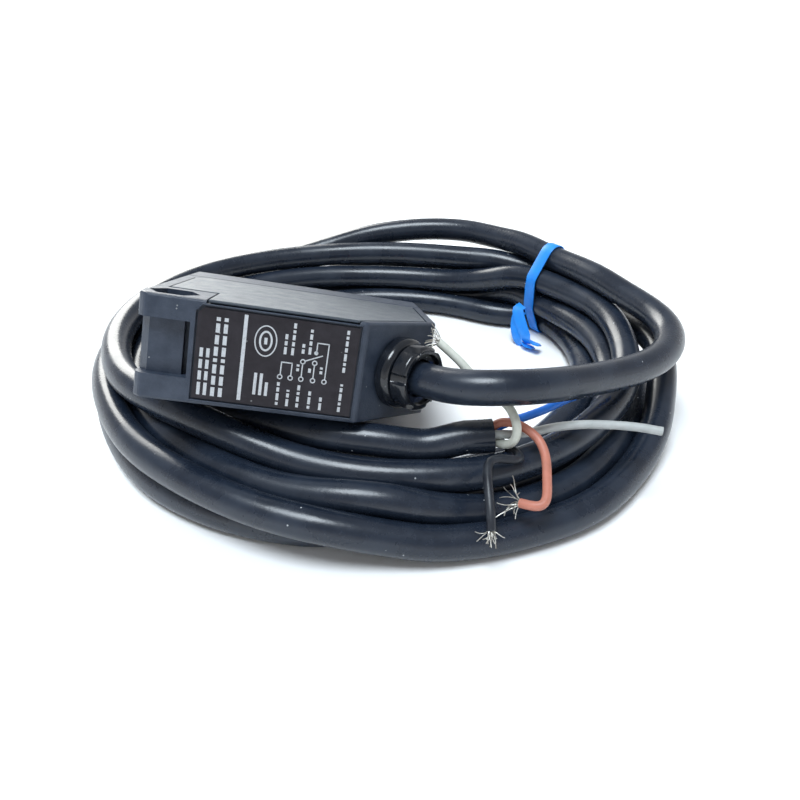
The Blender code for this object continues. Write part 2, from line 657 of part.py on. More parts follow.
def coil_height(turn):
    """Return the height of the coil's pile at a bearing round the ring, in degrees from +X."""
    if 48.0 < turn < 175.0:
        return 19.0 * MM if turn < 140.0 else 16.5 * MM
    if 175.0 <= turn <= 335.0:
        return 10.6 * MM
    return 14.2 * MM


def coil_solid():
    """Make the coil's outer shape: an oval ring, higher where the turns pile up."""
    verts = []
    spin = Matrix.Rotation(COIL_TURN, 2)
    for step in range(COIL_SEGMENTS):
        angle = 2.0 * math.pi * (step + 0.5) / COIL_SEGMENTS
        wave = (math.cos(angle), math.sin(angle))
        inner = spin @ Vector((COIL_INNER[0] * wave[0], COIL_INNER[1] * wave[1]))
        outer = spin @ Vector((COIL_OUTER[0] * wave[0], COIL_OUTER[1] * wave[1]))
        bearing = math.degrees(math.atan2(outer.y, outer.x)) % 360.0
        outer *= 1 + BACK_BULGE * math.exp(-((bearing - BACK_BEARING) / BACK_SPREAD) ** 2)
        height = coil_height(bearing)
        waist = 0.5 * math.exp(-((bearing - TIE_BEARING) / 12.0) ** 2)
        for reach, level in ((0.0, 0.0), (1.0, 0.0), (1.0, 0.45 * height),
                             (0.72, height), (0.14, height), (0.0, 0.85 * height)):
            place = Vector(COIL_CENTRE) + inner.lerp(outer, waist + reach * (1 - waist))
            verts.append((place.x, place.y, level))
    faces = []
    for step in range(COIL_SEGMENTS):
        here = 6 * step
        there = 6 * ((step + 1) % COIL_SEGMENTS)
        faces += [(here + i, here + (i + 1) % 6, there + (i + 1) % 6, there + i)
                  for i in range(6)]
    add_object("cable_coil", mesh_from("cable_coil", verts, faces), "jacket")


def twist_tie():
    """Make the tie as an arched band over the bundle, from floor to floor."""
    along = Vector(TIE_ALONG).normalized()
    across = along.cross(Vector((0, 0, 1)))
    path = [across * side * MM + Vector((*TIE_PLACE, up * MM)) for side, up in TIE_ARCH]
    verts = []
    for index, point in enumerate(path):
        run = path[min(index + 1, len(path) - 1)] - path[max(index - 1, 0)]
        out = run.cross(along).normalized()
        for grow, side in ((0, -1), (TIE_THICKNESS, -1), (TIE_THICKNESS, 1), (0, 1)):
            verts.append(point + out * grow + along * side * TIE_BAND / 2)
    last = 4 * (len(path) - 1)
    faces = [(0, 1, 2, 3), (last, last + 1, last + 2, last + 3)]
    for index in range(len(path) - 1):
        here = 4 * index
        faces += [(here + i, here + (i + 1) % 4, here + 4 + (i + 1) % 4, here + 4 + i)
                  for i in range(4)]
    add_object("twist_tie", mesh_from("twist_tie", verts, faces), "tie")


def strand_tuft(colour, length):
    """Make the bared strands at the end of a core as one tapered tuft."""
    points = CORE_ROUTES[colour]
    end = Vector(points[-1]) * MM
    way = (Vector(points[-1]) - Vector(points[-2])).normalized()
    profile = [(0, 0), (STRAND_RADIUS, 0), (1.8 * STRAND_RADIUS, 0.7 * length), (0, length)]
    name = "strands_" + colour
    item = add_object(name, turned_mesh(name, profile, 12), "tinned")
    item.location = end + way * GAP
    item.rotation_euler = facing(way)


def lead(sensor):
    """Make the lead: the run out of the gland, the coil, the cut end, its cores and the tie."""
    run = sensor.cable_start() + LEAD_ROUTE
    tube("cable_lead", smooth_route(run, CABLE_STEP / 2), CABLE_RADIUS, "jacket", 3)
    coil_solid()
    tube("cable_end", smooth_route(END_ROUTE, CABLE_STEP / 2), CABLE_RADIUS, "jacket", 3)
    for colour, points in CORE_ROUTES.items():
        tube("core_" + colour, smooth_route(points, CORE_STEP), CORE_RADIUS,
             "core_" + colour, 2)
    for colour, length in (("brown", 3.6 * MM), ("white", 3.0 * MM), ("black", 2.4 * MM)):
        strand_tuft(colour, length)
    twist_tie()


def main():
    """Build the sensor and its lead."""
    clear_scene()
    sensor = Sensor()
    sensor.build()
    lead(sensor)


main()
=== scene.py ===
"""Photoelectric sensor with its two-metre five-core lead, on a pale floor.

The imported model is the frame. The sensor's own axes are X along the label face, Y in towards the
lens face and Z across the width; SEAT takes them to the floor's frame. Lengths are in millimetres
until a mesh is made, and in metres after that.
"""

import logging
import math
from collections.abc import Callable, Sequence
from dataclasses import dataclass, field
from enum import Enum

import bmesh
import bpy
import numpy as np
from mathutils import Euler, Matrix, Vector


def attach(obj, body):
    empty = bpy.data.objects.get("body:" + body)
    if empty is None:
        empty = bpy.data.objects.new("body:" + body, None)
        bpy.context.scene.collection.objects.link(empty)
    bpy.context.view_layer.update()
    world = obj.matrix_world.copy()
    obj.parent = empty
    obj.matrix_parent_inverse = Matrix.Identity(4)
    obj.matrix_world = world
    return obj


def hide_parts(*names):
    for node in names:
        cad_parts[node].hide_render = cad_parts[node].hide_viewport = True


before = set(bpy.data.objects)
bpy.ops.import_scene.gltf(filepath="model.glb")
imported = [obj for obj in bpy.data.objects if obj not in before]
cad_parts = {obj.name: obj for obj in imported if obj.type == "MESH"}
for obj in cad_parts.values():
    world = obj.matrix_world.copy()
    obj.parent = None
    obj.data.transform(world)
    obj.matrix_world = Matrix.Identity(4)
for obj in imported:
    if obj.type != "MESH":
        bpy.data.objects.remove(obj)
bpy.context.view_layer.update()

LOG = logging.getLogger("sensor")
MM = 0.001
SENSOR = "sensor_body"

# How the sensor lies on its lead, as in the CAD source
SEAT_PLACE = (-23.50, -27.31, 23.83)
SEAT_TURN = (math.radians(-18.41), math.radians(9.76), math.radians(2.0))
SEAT = Matrix.LocRotScale(Vector(SEAT_PLACE), Euler(SEAT_TURN), None)

CASE_SIZE = (50.0, 50.0, 17.4)
GLAND_CENTRE = Vector((43.45, 6.55, 8.7))
GLAND_AXIS = Vector((1.0, -1.0, 0.0)).normalized()
CABLE_RADIUS = 3.0
CORE_RADIUS = 0.78

Point = Sequence[float]
Colour = tuple[float, float, float]


# ---------------------------------------------------------------- shader helpers

class Wire:
    """A shader socket that can be used in sums; each sum adds its Math node."""

    def __init__(self, paint: "Paint", socket: bpy.types.NodeSocket) -> None:
        """Keep the material being built and the socket."""
        self.paint = paint
        self.socket = socket

    def _sum(self, operation: str, first: object, second: object) -> "Wire":
        """Add a Math node on two values."""
        return self.paint.put("ShaderNodeMath", {"operation": operation}, {0: first, 1: second})

    def __add__(self, other: object) -> "Wire":
        """Add."""
        return self._sum("ADD", self, other)

    __radd__ = __add__

    def __sub__(self, other: object) -> "Wire":
        """Take away."""
        return self._sum("SUBTRACT", self, other)

    def __rsub__(self, other: object) -> "Wire":
        """Take away from a number."""
        return self._sum("SUBTRACT", other, self)

    def __mul__(self, other: object) -> "Wire":
        """Multiply."""
        return self._sum("MULTIPLY", self, other)

    __rmul__ = __mul__

    def over(self, edge: float) -> "Wire":
        """Return 1 where the value is greater than an edge."""
        return self._sum("GREATER_THAN", self, edge)

    def under(self, edge: float) -> "Wire":
        """Return 1 where the value is less than an edge."""
        return self._sum("LESS_THAN", self, edge)


class Paint:
    """A procedural material under construction round one Principled shader."""

    def __init__(self, name: str) -> None:
        """Start a node material.

        Args:
            name: The material's name.
        """
        self.material = bpy.data.materials.new(name)
        self.material.use_nodes = True
        self.tree = self.material.node_tree
        self.shader = self.tree.nodes["Principled BSDF"]

    def put(self, kind: str, settings: dict | None = None, sockets: dict | None = None,
            output: int | str = 0) -> Wire:
        """Add a node, set its settings, then its inputs.

        Args:
            kind: The node's type.
            settings: Attributes set first; "stops" fills a colour ramp.
            sockets: Values or wires by socket name or number.
            output: The output to hand back.

        Returns:
            The chosen output.
        """
        node = self.tree.nodes.new(kind)
        for key, value in (settings or {}).items():
            if key == "stops":
                ramp = node.color_ramp
                while len(ramp.elements) < len(value):
                    ramp.elements.new(1.0)
                for element, (place, colour) in zip(ramp.elements, value):
                    element.position = place
                    element.color = (*colour, 1.0)
            else:
                setattr(node, key, value)
        for key, value in (sockets or {}).items():
            self.join(value, node.inputs[key])
        return Wire(self, node.outputs[output])

    def join(self, value: object, socket: bpy.types.NodeSocket) -> None:
        """Link a wire to a socket, or set the socket's own value."""
        if isinstance(value, Wire):
            self.tree.links.new(value.socket, socket)
        elif isinstance(value, tuple) and len(value) == 3 and socket.type == "RGBA":
            socket.default_value = (*value, 1.0)
        else:
            socket.default_value = value

    def finish(self, **sockets: object) -> bpy.types.Material:
        """Set the Principled shader's inputs, named with underscores, and return the material."""
        for key, value in sockets.items():
            self.join(value, self.shader.inputs[key.replace("_", " ")])
        return self.material

    def place(self, seated: bool = False) -> Wire:
        """Return object coordinates, turned into the sensor's own axes if it is seated."""
        spot = self.put("ShaderNodeTexCoord", output="Object")
        if not seated:
            return spot
        lift = Vector(SEAT_PLACE) * MM
        return self.put("ShaderNodeMapping", {"vector_type": "TEXTURE"},
                        {"Vector": spot, "Location": tuple(lift), "Rotation": SEAT_TURN})

    def stretch(self, spot: Wire, scale: Point) -> Wire:
        """Return coordinates scaled along their axes."""
        return self.put("ShaderNodeMapping", {}, {"Vector": spot, "Scale": tuple(scale)})

    def noise(self, spot: Wire, size: float, detail: float = 4.0, rough: float = 0.6) -> Wire:
        """Return noise whose features are about a size in millimetres."""
        return self.put("ShaderNodeTexNoise", {}, {"Vector": spot, "Scale": 1.0 / (size * MM),
                                                   "Detail": detail, "Roughness": rough})

    def cells(self, spot: Wire, size: float, output: str = "Distance") -> Wire:
        """Return the distance or colour of scattered cells of a size in millimetres."""
        return self.put("ShaderNodeTexVoronoi", {}, {"Vector": spot, "Scale": 1.0 / (size * MM)},
                        output)

    def ramp(self, value: Wire, *stops: tuple[float, Colour]) -> Wire:
        """Return colours along a ramp."""
        return self.put("ShaderNodeValToRGB", {"stops": stops}, {"Fac": value})

    def spread(self, value: Wire, low: float, high: float, start: float = 0.0,
               stop: float = 1.0) -> Wire:
        """Return a value moved from the range start..stop to low..high, and held there."""
        return self.put("ShaderNodeMapRange", {"clamp": True},
                        {"Value": value, "From Min": start, "From Max": stop,
                         "To Min": low, "To Max": high})

    def mix(self, part: object, first: object, second: object) -> Wire:
        """Return a mix of two colours."""
        return self.put("ShaderNodeMix", {"data_type": "RGBA"}, {0: part, 6: first, 7: second}, 2)

    def bump(self, height: Wire, depth: float, strength: float = 1.0) -> Wire:
        """Return a normal from a height, with its depth in millimetres."""
        return self.put("ShaderNodeBump", {}, {"Height": height, "Distance": depth * MM,
                                               "Strength": strength})


# ---------------------------------------------------------------- finishes

@dataclass(frozen=True)
class MouldedPlastic:
    """A moulded plastic with a fine eroded grain, faint mottling and handling marks."""

    colour: Colour
    mottle: Colour
    roughness: float = 0.5
    grain: float = 0.16
    depth: float = 0.012
    specular: float = 0.35
    dust: float = 0.0

    def paint(self, name: str) -> bpy.types.Material:
        """Build the material.

        Args:
            name: The material's name.

        Returns:
            The finished material.
        """
        paint = Paint(name)
        spot = paint.place(seated=True)
        cloud = paint.noise(spot, 3.5, 5.0, 0.62)
        fine = paint.noise(spot, self.grain, 2.0, 0.5)
        marks = paint.noise(paint.stretch(spot, (1.0, 1.0, 5.0)), 2.2, 6.0, 0.7)
        colour = paint.mix(paint.spread(cloud, 0.0, 1.0, 0.35, 0.68), self.colour, self.mottle)
        scuff = paint.spread(marks, 0.0, 0.35, 0.6, 0.75)
        colour = paint.mix(scuff, colour, tuple(min(1.0, 1.9 * c + 0.01) for c in self.mottle))
        if self.dust:
            near = paint.cells(spot, 1.9).under(0.075)
            chosen = paint.noise(spot, 6.0, 1.0).over(0.52)
            colour = paint.mix(near * chosen * self.dust, colour, (0.45, 0.47, 0.48))
        rough = paint.spread(cloud, self.roughness - 0.07, self.roughness + 0.08, 0.3, 0.7)
        height = paint.spread(fine, 0.0, 1.0, 0.3, 0.7)
        return paint.finish(Base_Color=colour, Roughness=rough,
                            Normal=paint.bump(height, self.depth, 0.7),
                            Specular_IOR_Level=self.specular)


@dataclass(frozen=True)
class CableJacket:
    """Extruded PVC: a soft gloss, faint length-wise marks, a few white specks and scuffs."""

    colour: Colour = (0.0095, 0.0150, 0.0270)
    worn: Colour = (0.0210, 0.0300, 0.0480)
    roughness: float = 0.26

    def paint(self, name: str) -> bpy.types.Material:
        """Build the material.

        Args:
            name: The material's name.

        Returns:
            The finished material.
        """
        paint = Paint(name)
        spot = paint.place()
        cloud = paint.noise(spot, 9.0, 6.0, 0.65)
        fine = paint.noise(spot, 0.5, 3.0, 0.55)
        colour = paint.mix(paint.spread(cloud, 0.0, 1.0, 0.4, 0.72), self.colour, self.worn)
        scratch = paint.noise(paint.stretch(spot, (1.0, 5.0, 9.0)), 1.3, 4.0, 0.75)
        scuff = paint.spread(scratch, 0.0, 0.3, 0.66, 0.76)
        colour = paint.mix(scuff, colour, (0.12, 0.145, 0.18))
        near = paint.cells(spot, 2.6).under(0.055)
        chosen = paint.noise(spot, 7.0, 1.0).over(0.56)
        specks = near * chosen
        colour = paint.mix(specks * 0.8, colour, (0.5, 0.53, 0.56))
        rough = paint.spread(cloud, self.roughness - 0.05, self.roughness + 0.09, 0.3, 0.7)
        height = paint.spread(fine, 0.0, 1.0, 0.25, 0.75) + specks * 1.5
        return paint.finish(Base_Color=colour, Roughness=rough + specks * 0.3,
                            Normal=paint.bump(height, 0.016, 0.6), Specular_IOR_Level=0.5)


@dataclass(frozen=True)
class CoreInsulation:
    """Thin coloured insulation with smears of dirt and slight dents."""

    colour: Colour
    shade: Colour
    roughness: float = 0.38

    def paint(self, name: str) -> bpy.types.Material:
        """Build the material.

        Args:
            name: The material's name.

        Returns:
            The finished material.
        """
        paint = Paint(name)
        spot = paint.place()
        cloud = paint.noise(spot, 2.4, 5.0, 0.6)
        fine = paint.noise(spot, 0.35, 2.0)
        colour = paint.mix(paint.spread(cloud, 0.0, 1.0, 0.42, 0.75), self.colour, self.shade)
        rough = paint.spread(cloud, self.roughness, self.roughness + 0.18, 0.3, 0.7)
        return paint.finish(Base_Color=colour, Roughness=rough,
                            Normal=paint.bump(fine, 0.02, 0.5))


@dataclass(frozen=True)
class Metal:
    """A metal with drawn streaks and a slight tarnish."""

    colour: Colour
    tarnish: Colour
    roughness: float = 0.3
    streak: Point = (1.0, 1.0, 8.0)

    def paint(self, name: str) -> bpy.types.Material:
        """Build the material.

        Args:
            name: The material's name.

        Returns:
            The finished material.
        """
        paint = Paint(name)
        spot = paint.place(seated=True)
        drawn = paint.noise(paint.stretch(spot, self.streak), 0.5, 4.0, 0.6)
        cloud = paint.noise(spot, 2.0, 4.0)
        colour = paint.mix(paint.spread(cloud, 0.0, 1.0, 0.45, 0.75), self.colour, self.tarnish)
        rough = paint.spread(drawn, self.roughness - 0.08, self.roughness + 0.16, 0.3, 0.7)
        return paint.finish(Base_Color=colour, Roughness=rough, Metallic=1.0,
                            Normal=paint.bump(drawn, 0.01, 0.4))


@dataclass(frozen=True)
class ClearPart:
    """A clear or tinted moulded optic, with a fine haze."""

    colour: Colour
    haze: Colour
    roughness: float = 0.06
    transmission: float = 0.85
    ior: float = 1.49

    def paint(self, name: str) -> bpy.types.Material:
        """Build the material.

        Args:
            name: The material's name.

        Returns:
            The finished material.
        """
        paint = Paint(name)
        spot = paint.place(seated=True)
        cloud = paint.noise(spot, 4.0, 5.0, 0.6)
        colour = paint.mix(paint.spread(cloud, 0.0, 0.6, 0.45, 0.8), self.colour, self.haze)
        rough = paint.spread(cloud, self.roughness, self.roughness + 0.08, 0.4, 0.8)
        return paint.finish(Base_Color=colour, Roughness=rough,
                            Transmission_Weight=self.transmission, IOR=self.ior)


@dataclass(frozen=True)
class Board:
    """A circuit board: solder mask over traces, with tinned pads."""

    colour: Colour = (0.012, 0.10, 0.045)
    trace: Colour = (0.03, 0.20, 0.075)

    def paint(self, name: str) -> bpy.types.Material:
        """Build the material.

        Args:
            name: The material's name.

        Returns:
            The finished material.
        """
        paint = Paint(name)
        spot = paint.place(seated=True)
        lanes = paint.put("ShaderNodeTexBrick", {"offset": 0.5},
                          {"Vector": spot, "Scale": 1.0 / (2.4 * MM), "Mortar Size": 0.08,
                           "Color1": (0.0, 0.0, 0.0), "Color2": (0.0, 0.0, 0.0),
                           "Mortar": (1.0, 1.0, 1.0)})
        colour = paint.mix(lanes, self.colour, self.trace)
        pads = paint.cells(spot, 1.7).under(0.2)
        colour = paint.mix(pads, colour, (0.55, 0.54, 0.5))
        cloud = paint.noise(spot, 2.0)
        return paint.finish(Base_Color=colour, Roughness=paint.spread(cloud, 0.3, 0.5, 0.3, 0.7),
                            Normal=paint.bump(lanes + pads, 0.03, 0.6))


@dataclass(frozen=True)
class Winding:
    """Enamelled copper wire wound in layers, with painted shade in the grooves between the turns."""

    colour: Colour = (0.55, 0.20, 0.09)
    # the gap colour is painted shade in the grooves between the turns, not a colour of the wire
    painted_gap_shade: Colour = (0.12, 0.035, 0.015)

    def paint(self, name: str) -> bpy.types.Material:
        """Build the material.

        Args:
            name: The material's name.

        Returns:
            The finished material.
        """
        paint = Paint(name)
        spot = paint.place(seated=True)
        turns = paint.put("ShaderNodeTexWave", {"wave_type": "BANDS", "bands_direction": "Z"},
                          {"Vector": spot, "Scale": 1.0 / (1.8 * MM), "Distortion": 0.4})
        # painted shade: between the turns the wire darkens to the gap colour
        colour = paint.mix(turns, self.painted_gap_shade, self.colour)
        return paint.finish(Base_Color=colour, Roughness=paint.spread(turns, 0.55, 0.28),
                            Metallic=0.6, Normal=paint.bump(turns, 0.1, 0.8))


@dataclass(frozen=True)
class PrintedInk:
    """Off-white screen print, thin in places."""

    colour: Colour = (0.47, 0.49, 0.52)
    thin: Colour = (0.27, 0.28, 0.30)

    def paint(self, name: str) -> bpy.types.Material:
        """Build the material.

        Args:
            name: The material's name.

        Returns:
            The finished material.
        """
        paint = Paint(name)
        spot = paint.place(seated=True)
        cloud = paint.noise(spot, 0.5, 5.0, 0.7)
        colour = paint.mix(paint.spread(cloud, 0.0, 1.0, 0.5, 0.75), self.colour, self.thin)
        return paint.finish(Base_Color=colour, Roughness=paint.spread(cloud, 0.42, 0.6, 0.3, 0.7))


@dataclass(frozen=True)
class FloorSheet:
    """A plain pale sheet with a trace of unevenness."""

    colour: Colour = (0.93, 0.93, 0.93)
    second: Colour = (0.91, 0.912, 0.915)

    def paint(self, name: str) -> bpy.types.Material:
        """Build the material.

        Args:
            name: The material's name.

        Returns:
            The finished material.
        """
        paint = Paint(name)
        cloud = paint.noise(paint.place(), 180.0, 2.0)
        colour = paint.mix(paint.spread(cloud, 0.0, 1.0, 0.35, 0.65), self.colour, self.second)
        return paint.finish(Base_Color=colour, Roughness=paint.spread(cloud, 0.75, 0.85),
                            Specular_IOR_Level=0.0)


class Finish(Enum):
    """The finishes of the object, each painted once."""

    CASE = MouldedPlastic((0.021, 0.031, 0.052), (0.042, 0.055, 0.082), 0.42, 0.24, 0.030,
                           0.45, 0.4)
    # the cover's own dark plastic, painted lighter than the case as a painted reflection; its lower
    # roughness and higher specular are its real gloss
    COVER = MouldedPlastic((0.032, 0.044, 0.060), (0.050, 0.064, 0.082), 0.36, 0.24, 0.022,
                           0.6, 0.4)
    LABEL = MouldedPlastic((0.0120, 0.0100, 0.0140), (0.022, 0.0190, 0.0250), 0.42, 0.4, 0.004,
                           0.3, 0.35)
    INK = PrintedInk()
    GLAND = MouldedPlastic((0.0050, 0.0070, 0.0110), (0.010, 0.0125, 0.018), 0.16, 0.6, 0.008,
                           0.6, 0.25)
    SEAL = MouldedPlastic((0.012, 0.012, 0.012), (0.020, 0.020, 0.020), 0.7)
    INNER = MouldedPlastic((0.014, 0.014, 0.015), (0.022, 0.022, 0.024), 0.45)
    RELAY = MouldedPlastic((0.020, 0.050, 0.250), (0.030, 0.070, 0.300), 0.38)
    VARISTOR = MouldedPlastic((0.030, 0.090, 0.380), (0.050, 0.120, 0.430), 0.45)
    DIAL = MouldedPlastic((0.52, 0.53, 0.52), (0.60, 0.61, 0.60), 0.4)
    WINDOW = ClearPart((0.20, 0.012, 0.016), (0.30, 0.04, 0.04), 0.05, 0.9)
    LENS = ClearPart((0.90, 0.93, 0.95), (0.80, 0.84, 0.88), 0.02, 0.95, 1.52)
    FILTER = ClearPart((0.30, 0.30, 0.33), (0.36, 0.36, 0.40), 0.08, 0.8)
    GREEN = ClearPart((0.05, 0.50, 0.14), (0.12, 0.62, 0.22), 0.16, 0.35)
    ORANGE = ClearPart((0.80, 0.22, 0.03), (0.85, 0.34, 0.08), 0.16, 0.35)
    STEEL = Metal((0.55, 0.56, 0.58), (0.40, 0.40, 0.41))
    TINNED = Metal((0.62, 0.61, 0.57), (0.46, 0.43, 0.38), 0.34, (2.0, 2.0, 2.0))
    BOARD = Board()
    WINDING = Winding()
    JACKET = CableJacket()
    BROWN = CoreInsulation((0.50, 0.185, 0.130), (0.40, 0.145, 0.100))
    GRAY = CoreInsulation((0.42, 0.44, 0.44), (0.33, 0.35, 0.35))
    WHITE = CoreInsulation((0.62, 0.64, 0.58), (0.50, 0.52, 0.46))
    BLACK = CoreInsulation((0.012, 0.015, 0.022), (0.026, 0.031, 0.040), 0.3)
    BLUE = CoreInsulation((0.010, 0.150, 0.62), (0.012, 0.115, 0.48))
    TIE = CoreInsulation((0.010, 0.27, 0.90), (0.010, 0.21, 0.75), 0.34)
    FLOOR = FloorSheet()

    @property
    def material(self) -> bpy.types.Material:
        """The finish's material, painted when it is first asked for."""
        name = f"{self.name.lower()}_finish"
        return bpy.data.materials.get(name) or self.value.paint(name)


# ---------------------------------------------------------------- mesh helpers

def settle_piece(name: str, mesh: bpy.types.Mesh, finish: Finish, body: str | None = SENSOR,
                 smooth: float | None = 35.0) -> bpy.types.Object:
    """Link a piece at the origin, dress it, and let it ride.

    Args:
        name: The piece's name.
        mesh: Its mesh, already in place in metres.
        finish: Its finish.
        body: The body that it rides on, or None for the stage.
        smooth: The angle in degrees below which edges are shaded smooth, or None for flat.

    Returns:
        The piece.
    """
    piece = bpy.data.objects.new(name, mesh)
    bpy.context.scene.collection.objects.link(piece)
    mesh.name = name
    mesh.materials.clear()
    mesh.materials.append(finish.material)
    if smooth is not None:
        mesh.shade_smooth()
        mesh.set_sharp_from_angle(angle=math.radians(smooth))
    if body:
        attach(piece, body)
    LOG.info("%s: %d faces", name, len(mesh.polygons))
    return piece


def mesh_of(verts: Sequence[Point], faces: Sequence[Sequence[int]],
            place: Callable[[Point], Point] | None = None, outward: bool = True
            ) -> bpy.types.Mesh:
    """Make a mesh from points in millimetres.

    Args:
        verts: The points.
        faces: The faces.
        place: What takes a point to the floor's frame in millimetres.
        outward: Whether the faces are turned to point outwards.

    Returns:
        The mesh, in metres.
    """
    mesh = bpy.data.meshes.new("piece")
    spots = [Vector(place(v) if place else v) * MM for v in verts]
    mesh.from_pydata([tuple(v) for v in spots], [], [tuple(f) for f in faces])
    if outward:
        face_outwards(mesh)
    return mesh


def face_outwards(mesh: bpy.types.Mesh, merge: float = 0.0) -> None:
    """Turn a mesh's faces outwards.

    Args:
        mesh: The mesh.
        merge: The distance in millimetres within which points are merged first.
    """
    shape = bmesh.new()
    shape.from_mesh(mesh)
    if merge:
        bmesh.ops.remove_doubles(shape, verts=shape.verts, dist=merge * MM)
    bmesh.ops.recalc_face_normals(shape, faces=shape.faces)
    shape.to_mesh(mesh)
    shape.free()


def seated(point: Point) -> Vector:
    """Return a point of the sensor's own axes on the floor's frame, in millimetres."""
    return SEAT @ Vector(point)


def grid_faces(rows: int, columns: int, close_rows: bool = False) -> list[tuple[int, ...]]:
    """Return the quads of a tube of rings.

    Args:
        rows: The number of rings.
        columns: The number of points in a ring, which is closed.
        close_rows: Whether the last ring joins the first.

    Returns:
        The faces.
    """
    last = rows if close_rows else rows - 1
    return [(r * columns + c, r * columns + (c + 1) % columns,
             (r + 1) % rows * columns + (c + 1) % columns, (r + 1) % rows * columns + c)
            for r in range(last) for c in range(columns)]


def lathe(profile: Sequence[tuple[float, float]], centre: Vector, axis: Vector,
          segments: int = 96, notch: Callable[[float, float, float], float] | None = None
          ) -> bpy.types.Mesh:
    """Turn a closed profile of (radius, height) about an axis of the sensor.

    Args:
        profile: The closed profile, in millimetres.
        centre: The point that height is measured from, in the sensor's axes.
        axis: The axis, in the sensor's axes.
        segments: How many steps round.
        notch: What gives the radius at an angle, a radius and a height.

    Returns:
        The mesh.
    """
    turn = axis.to_track_quat("Z", "Y").to_matrix()
    verts = []
    for radius, height in profile:
        for step in range(segments):
            angle = 2.0 * math.pi * step / segments
            reach = notch(angle, radius, height) if notch else radius
            spot = Vector((reach * math.cos(angle), reach * math.sin(angle), height))
            verts.append(centre + turn @ spot)
    mesh = mesh_of(verts, grid_faces(len(profile), segments, True), seated, False)
    face_outwards(mesh, 0.002)
    return mesh


def rounded(corners: Sequence[tuple[float, float, float]], steps: int = 5
            ) -> list[tuple[float, float]]:
    """Return a closed outline with its corners rounded.

    Args:
        corners: Points as (u, v, radius).
        steps: The points on each arc, less one.

    Returns:
        The outline.
    """
    outline = []
    for index, (u, v, radius) in enumerate(corners):
        here = Vector((u, v))
        if radius <= 0.0:
            outline.append((u, v))
            continue
        before = (Vector(corners[index - 1][:2]) - here).normalized()
        after = (Vector(corners[(index + 1) % len(corners)][:2]) - here).normalized()
        half = before.angle(after) / 2.0
        reach = radius / math.tan(half)
        middle = here + (before + after).normalized() * (radius / math.sin(half))
        start = here + before * reach - middle
        stop = here + after * reach - middle
        sweep = start.angle_signed(stop)
        for step in range(steps + 1):
            angle = -sweep * step / steps
            spun = Matrix.Rotation(angle, 2) @ start
            outline.append(tuple(middle + spun))
    return outline


def smooth_line(points: Sequence[Point], step: float) -> np.ndarray:
    """Return evenly spaced points on a smooth curve through the given ones.

    Args:
        points: The route.
        step: The spacing.

    Returns:
        The points as rows.
    """
    given = np.array(points, float)
    ends = np.vstack([2 * given[0] - given[1], given, 2 * given[-1] - given[-2]])
    fine = []
    for index in range(1, len(ends) - 2):
        before, start, stop, after = ends[index - 1:index + 3]
        for t in np.linspace(0.0, 1.0, 16, endpoint=False):
            fine.append(0.5 * (2 * start + (stop - before) * t
                               + (2 * before - 5 * start + 4 * stop - after) * t ** 2
                               + (3 * start - before - 3 * stop + after) * t ** 3))
    return even_line(np.array(fine + [given[-1]]), step)


def even_line(line: np.ndarray, step: float) -> np.ndarray:
    """Return a line's points spaced evenly, about a step apart."""
    run = np.concatenate([[0.0], np.cumsum(np.linalg.norm(np.diff(line, axis=0), axis=1))])
    marks = np.linspace(0.0, run[-1], max(4, int(round(run[-1] / step)) + 1))
    return np.column_stack([np.interp(marks, run, line[:, axis]) for axis in range(3)])


def line_length(line: np.ndarray) -> float:
    """Return a line's length."""
    return float(np.linalg.norm(np.diff(line, axis=0), axis=1).sum())


def soften(line: np.ndarray, rounds: int) -> np.ndarray:
    """Return a line with its bends eased and its ends kept."""
    line = line.copy()
    for _ in range(rounds):
        line[1:-1] = 0.25 * line[:-2] + 0.5 * line[1:-1] + 0.25 * line[2:]
    return line


def tube_rings(line: np.ndarray, radius: float, sides: int,
               swell: Callable[[float], float] | None = None) -> list[Vector]:
    """Return rings of points round a line, carried along it without twist.

    Args:
        line: The centre line.
        radius: The tube's radius.
        sides: The points in a ring.
        swell: What multiplies the radius at a distance along the line.

    Returns:
        The points, ring after ring.
    """
    verts: list[Vector] = []
    normal = Vector((0.0, 0.0, 1.0))
    run = 0.0
    for index, spot in enumerate(line):
        ahead = Vector(line[min(index + 1, len(line) - 1)] - line[max(index - 1, 0)]).normalized()
        normal = (normal - ahead * normal.dot(ahead)).normalized()
        across = ahead.cross(normal)
        size = radius * (swell(run) if swell else 1.0)
        for side in range(sides):
            angle = 2.0 * math.pi * side / sides
            verts.append(Vector(spot) + (normal * math.cos(angle)
                                         + across * math.sin(angle)) * size)
        if index + 1 < len(line):
            run += float(np.linalg.norm(line[index + 1] - spot))
    return verts


def tube(line: np.ndarray, radius: float, sides: int = 16, bore: float = 0.0,
         bore_depth: float = 0.0, swell: Callable[[float], float] | None = None
         ) -> bpy.types.Mesh:
    """Make a round tube along a line, its far end hollowed if it has a bore.

    Args:
        line: The centre line, in millimetres.
        radius: The tube's radius.
        sides: The points in a ring.
        bore: The radius of the hollow at the far end.
        bore_depth: How deep the hollow goes.
        swell: What multiplies the radius at a distance along the line.

    Returns:
        The mesh.
    """
    verts = tube_rings(line, radius, sides, swell)
    rows = len(line)
    faces = grid_faces(rows, sides)
    faces.append(tuple(reversed(range(sides))))
    if bore:
        tip = Vector(line[-1])
        back = Vector(line[-2] - line[-1]).normalized()
        rim = verts[-sides:]
        for reach, depth in ((radius - 0.12, -0.02), (bore + 0.08, -0.02), (bore, 0.06),
                             (bore, bore_depth)):
            verts += [tip + (v - tip) * (reach / radius) + back * depth for v in rim]
        start = (rows - 1) * sides
        faces += [tuple(i + start for i in face) for face in grid_faces(5, sides)]
        faces.append(tuple(range(len(verts) - sides, len(verts))))
    else:
        faces.append(tuple(range(len(verts) - sides, len(verts))))
    return mesh_of(verts, faces)


# ---------------------------------------------------------------- geometry node helper

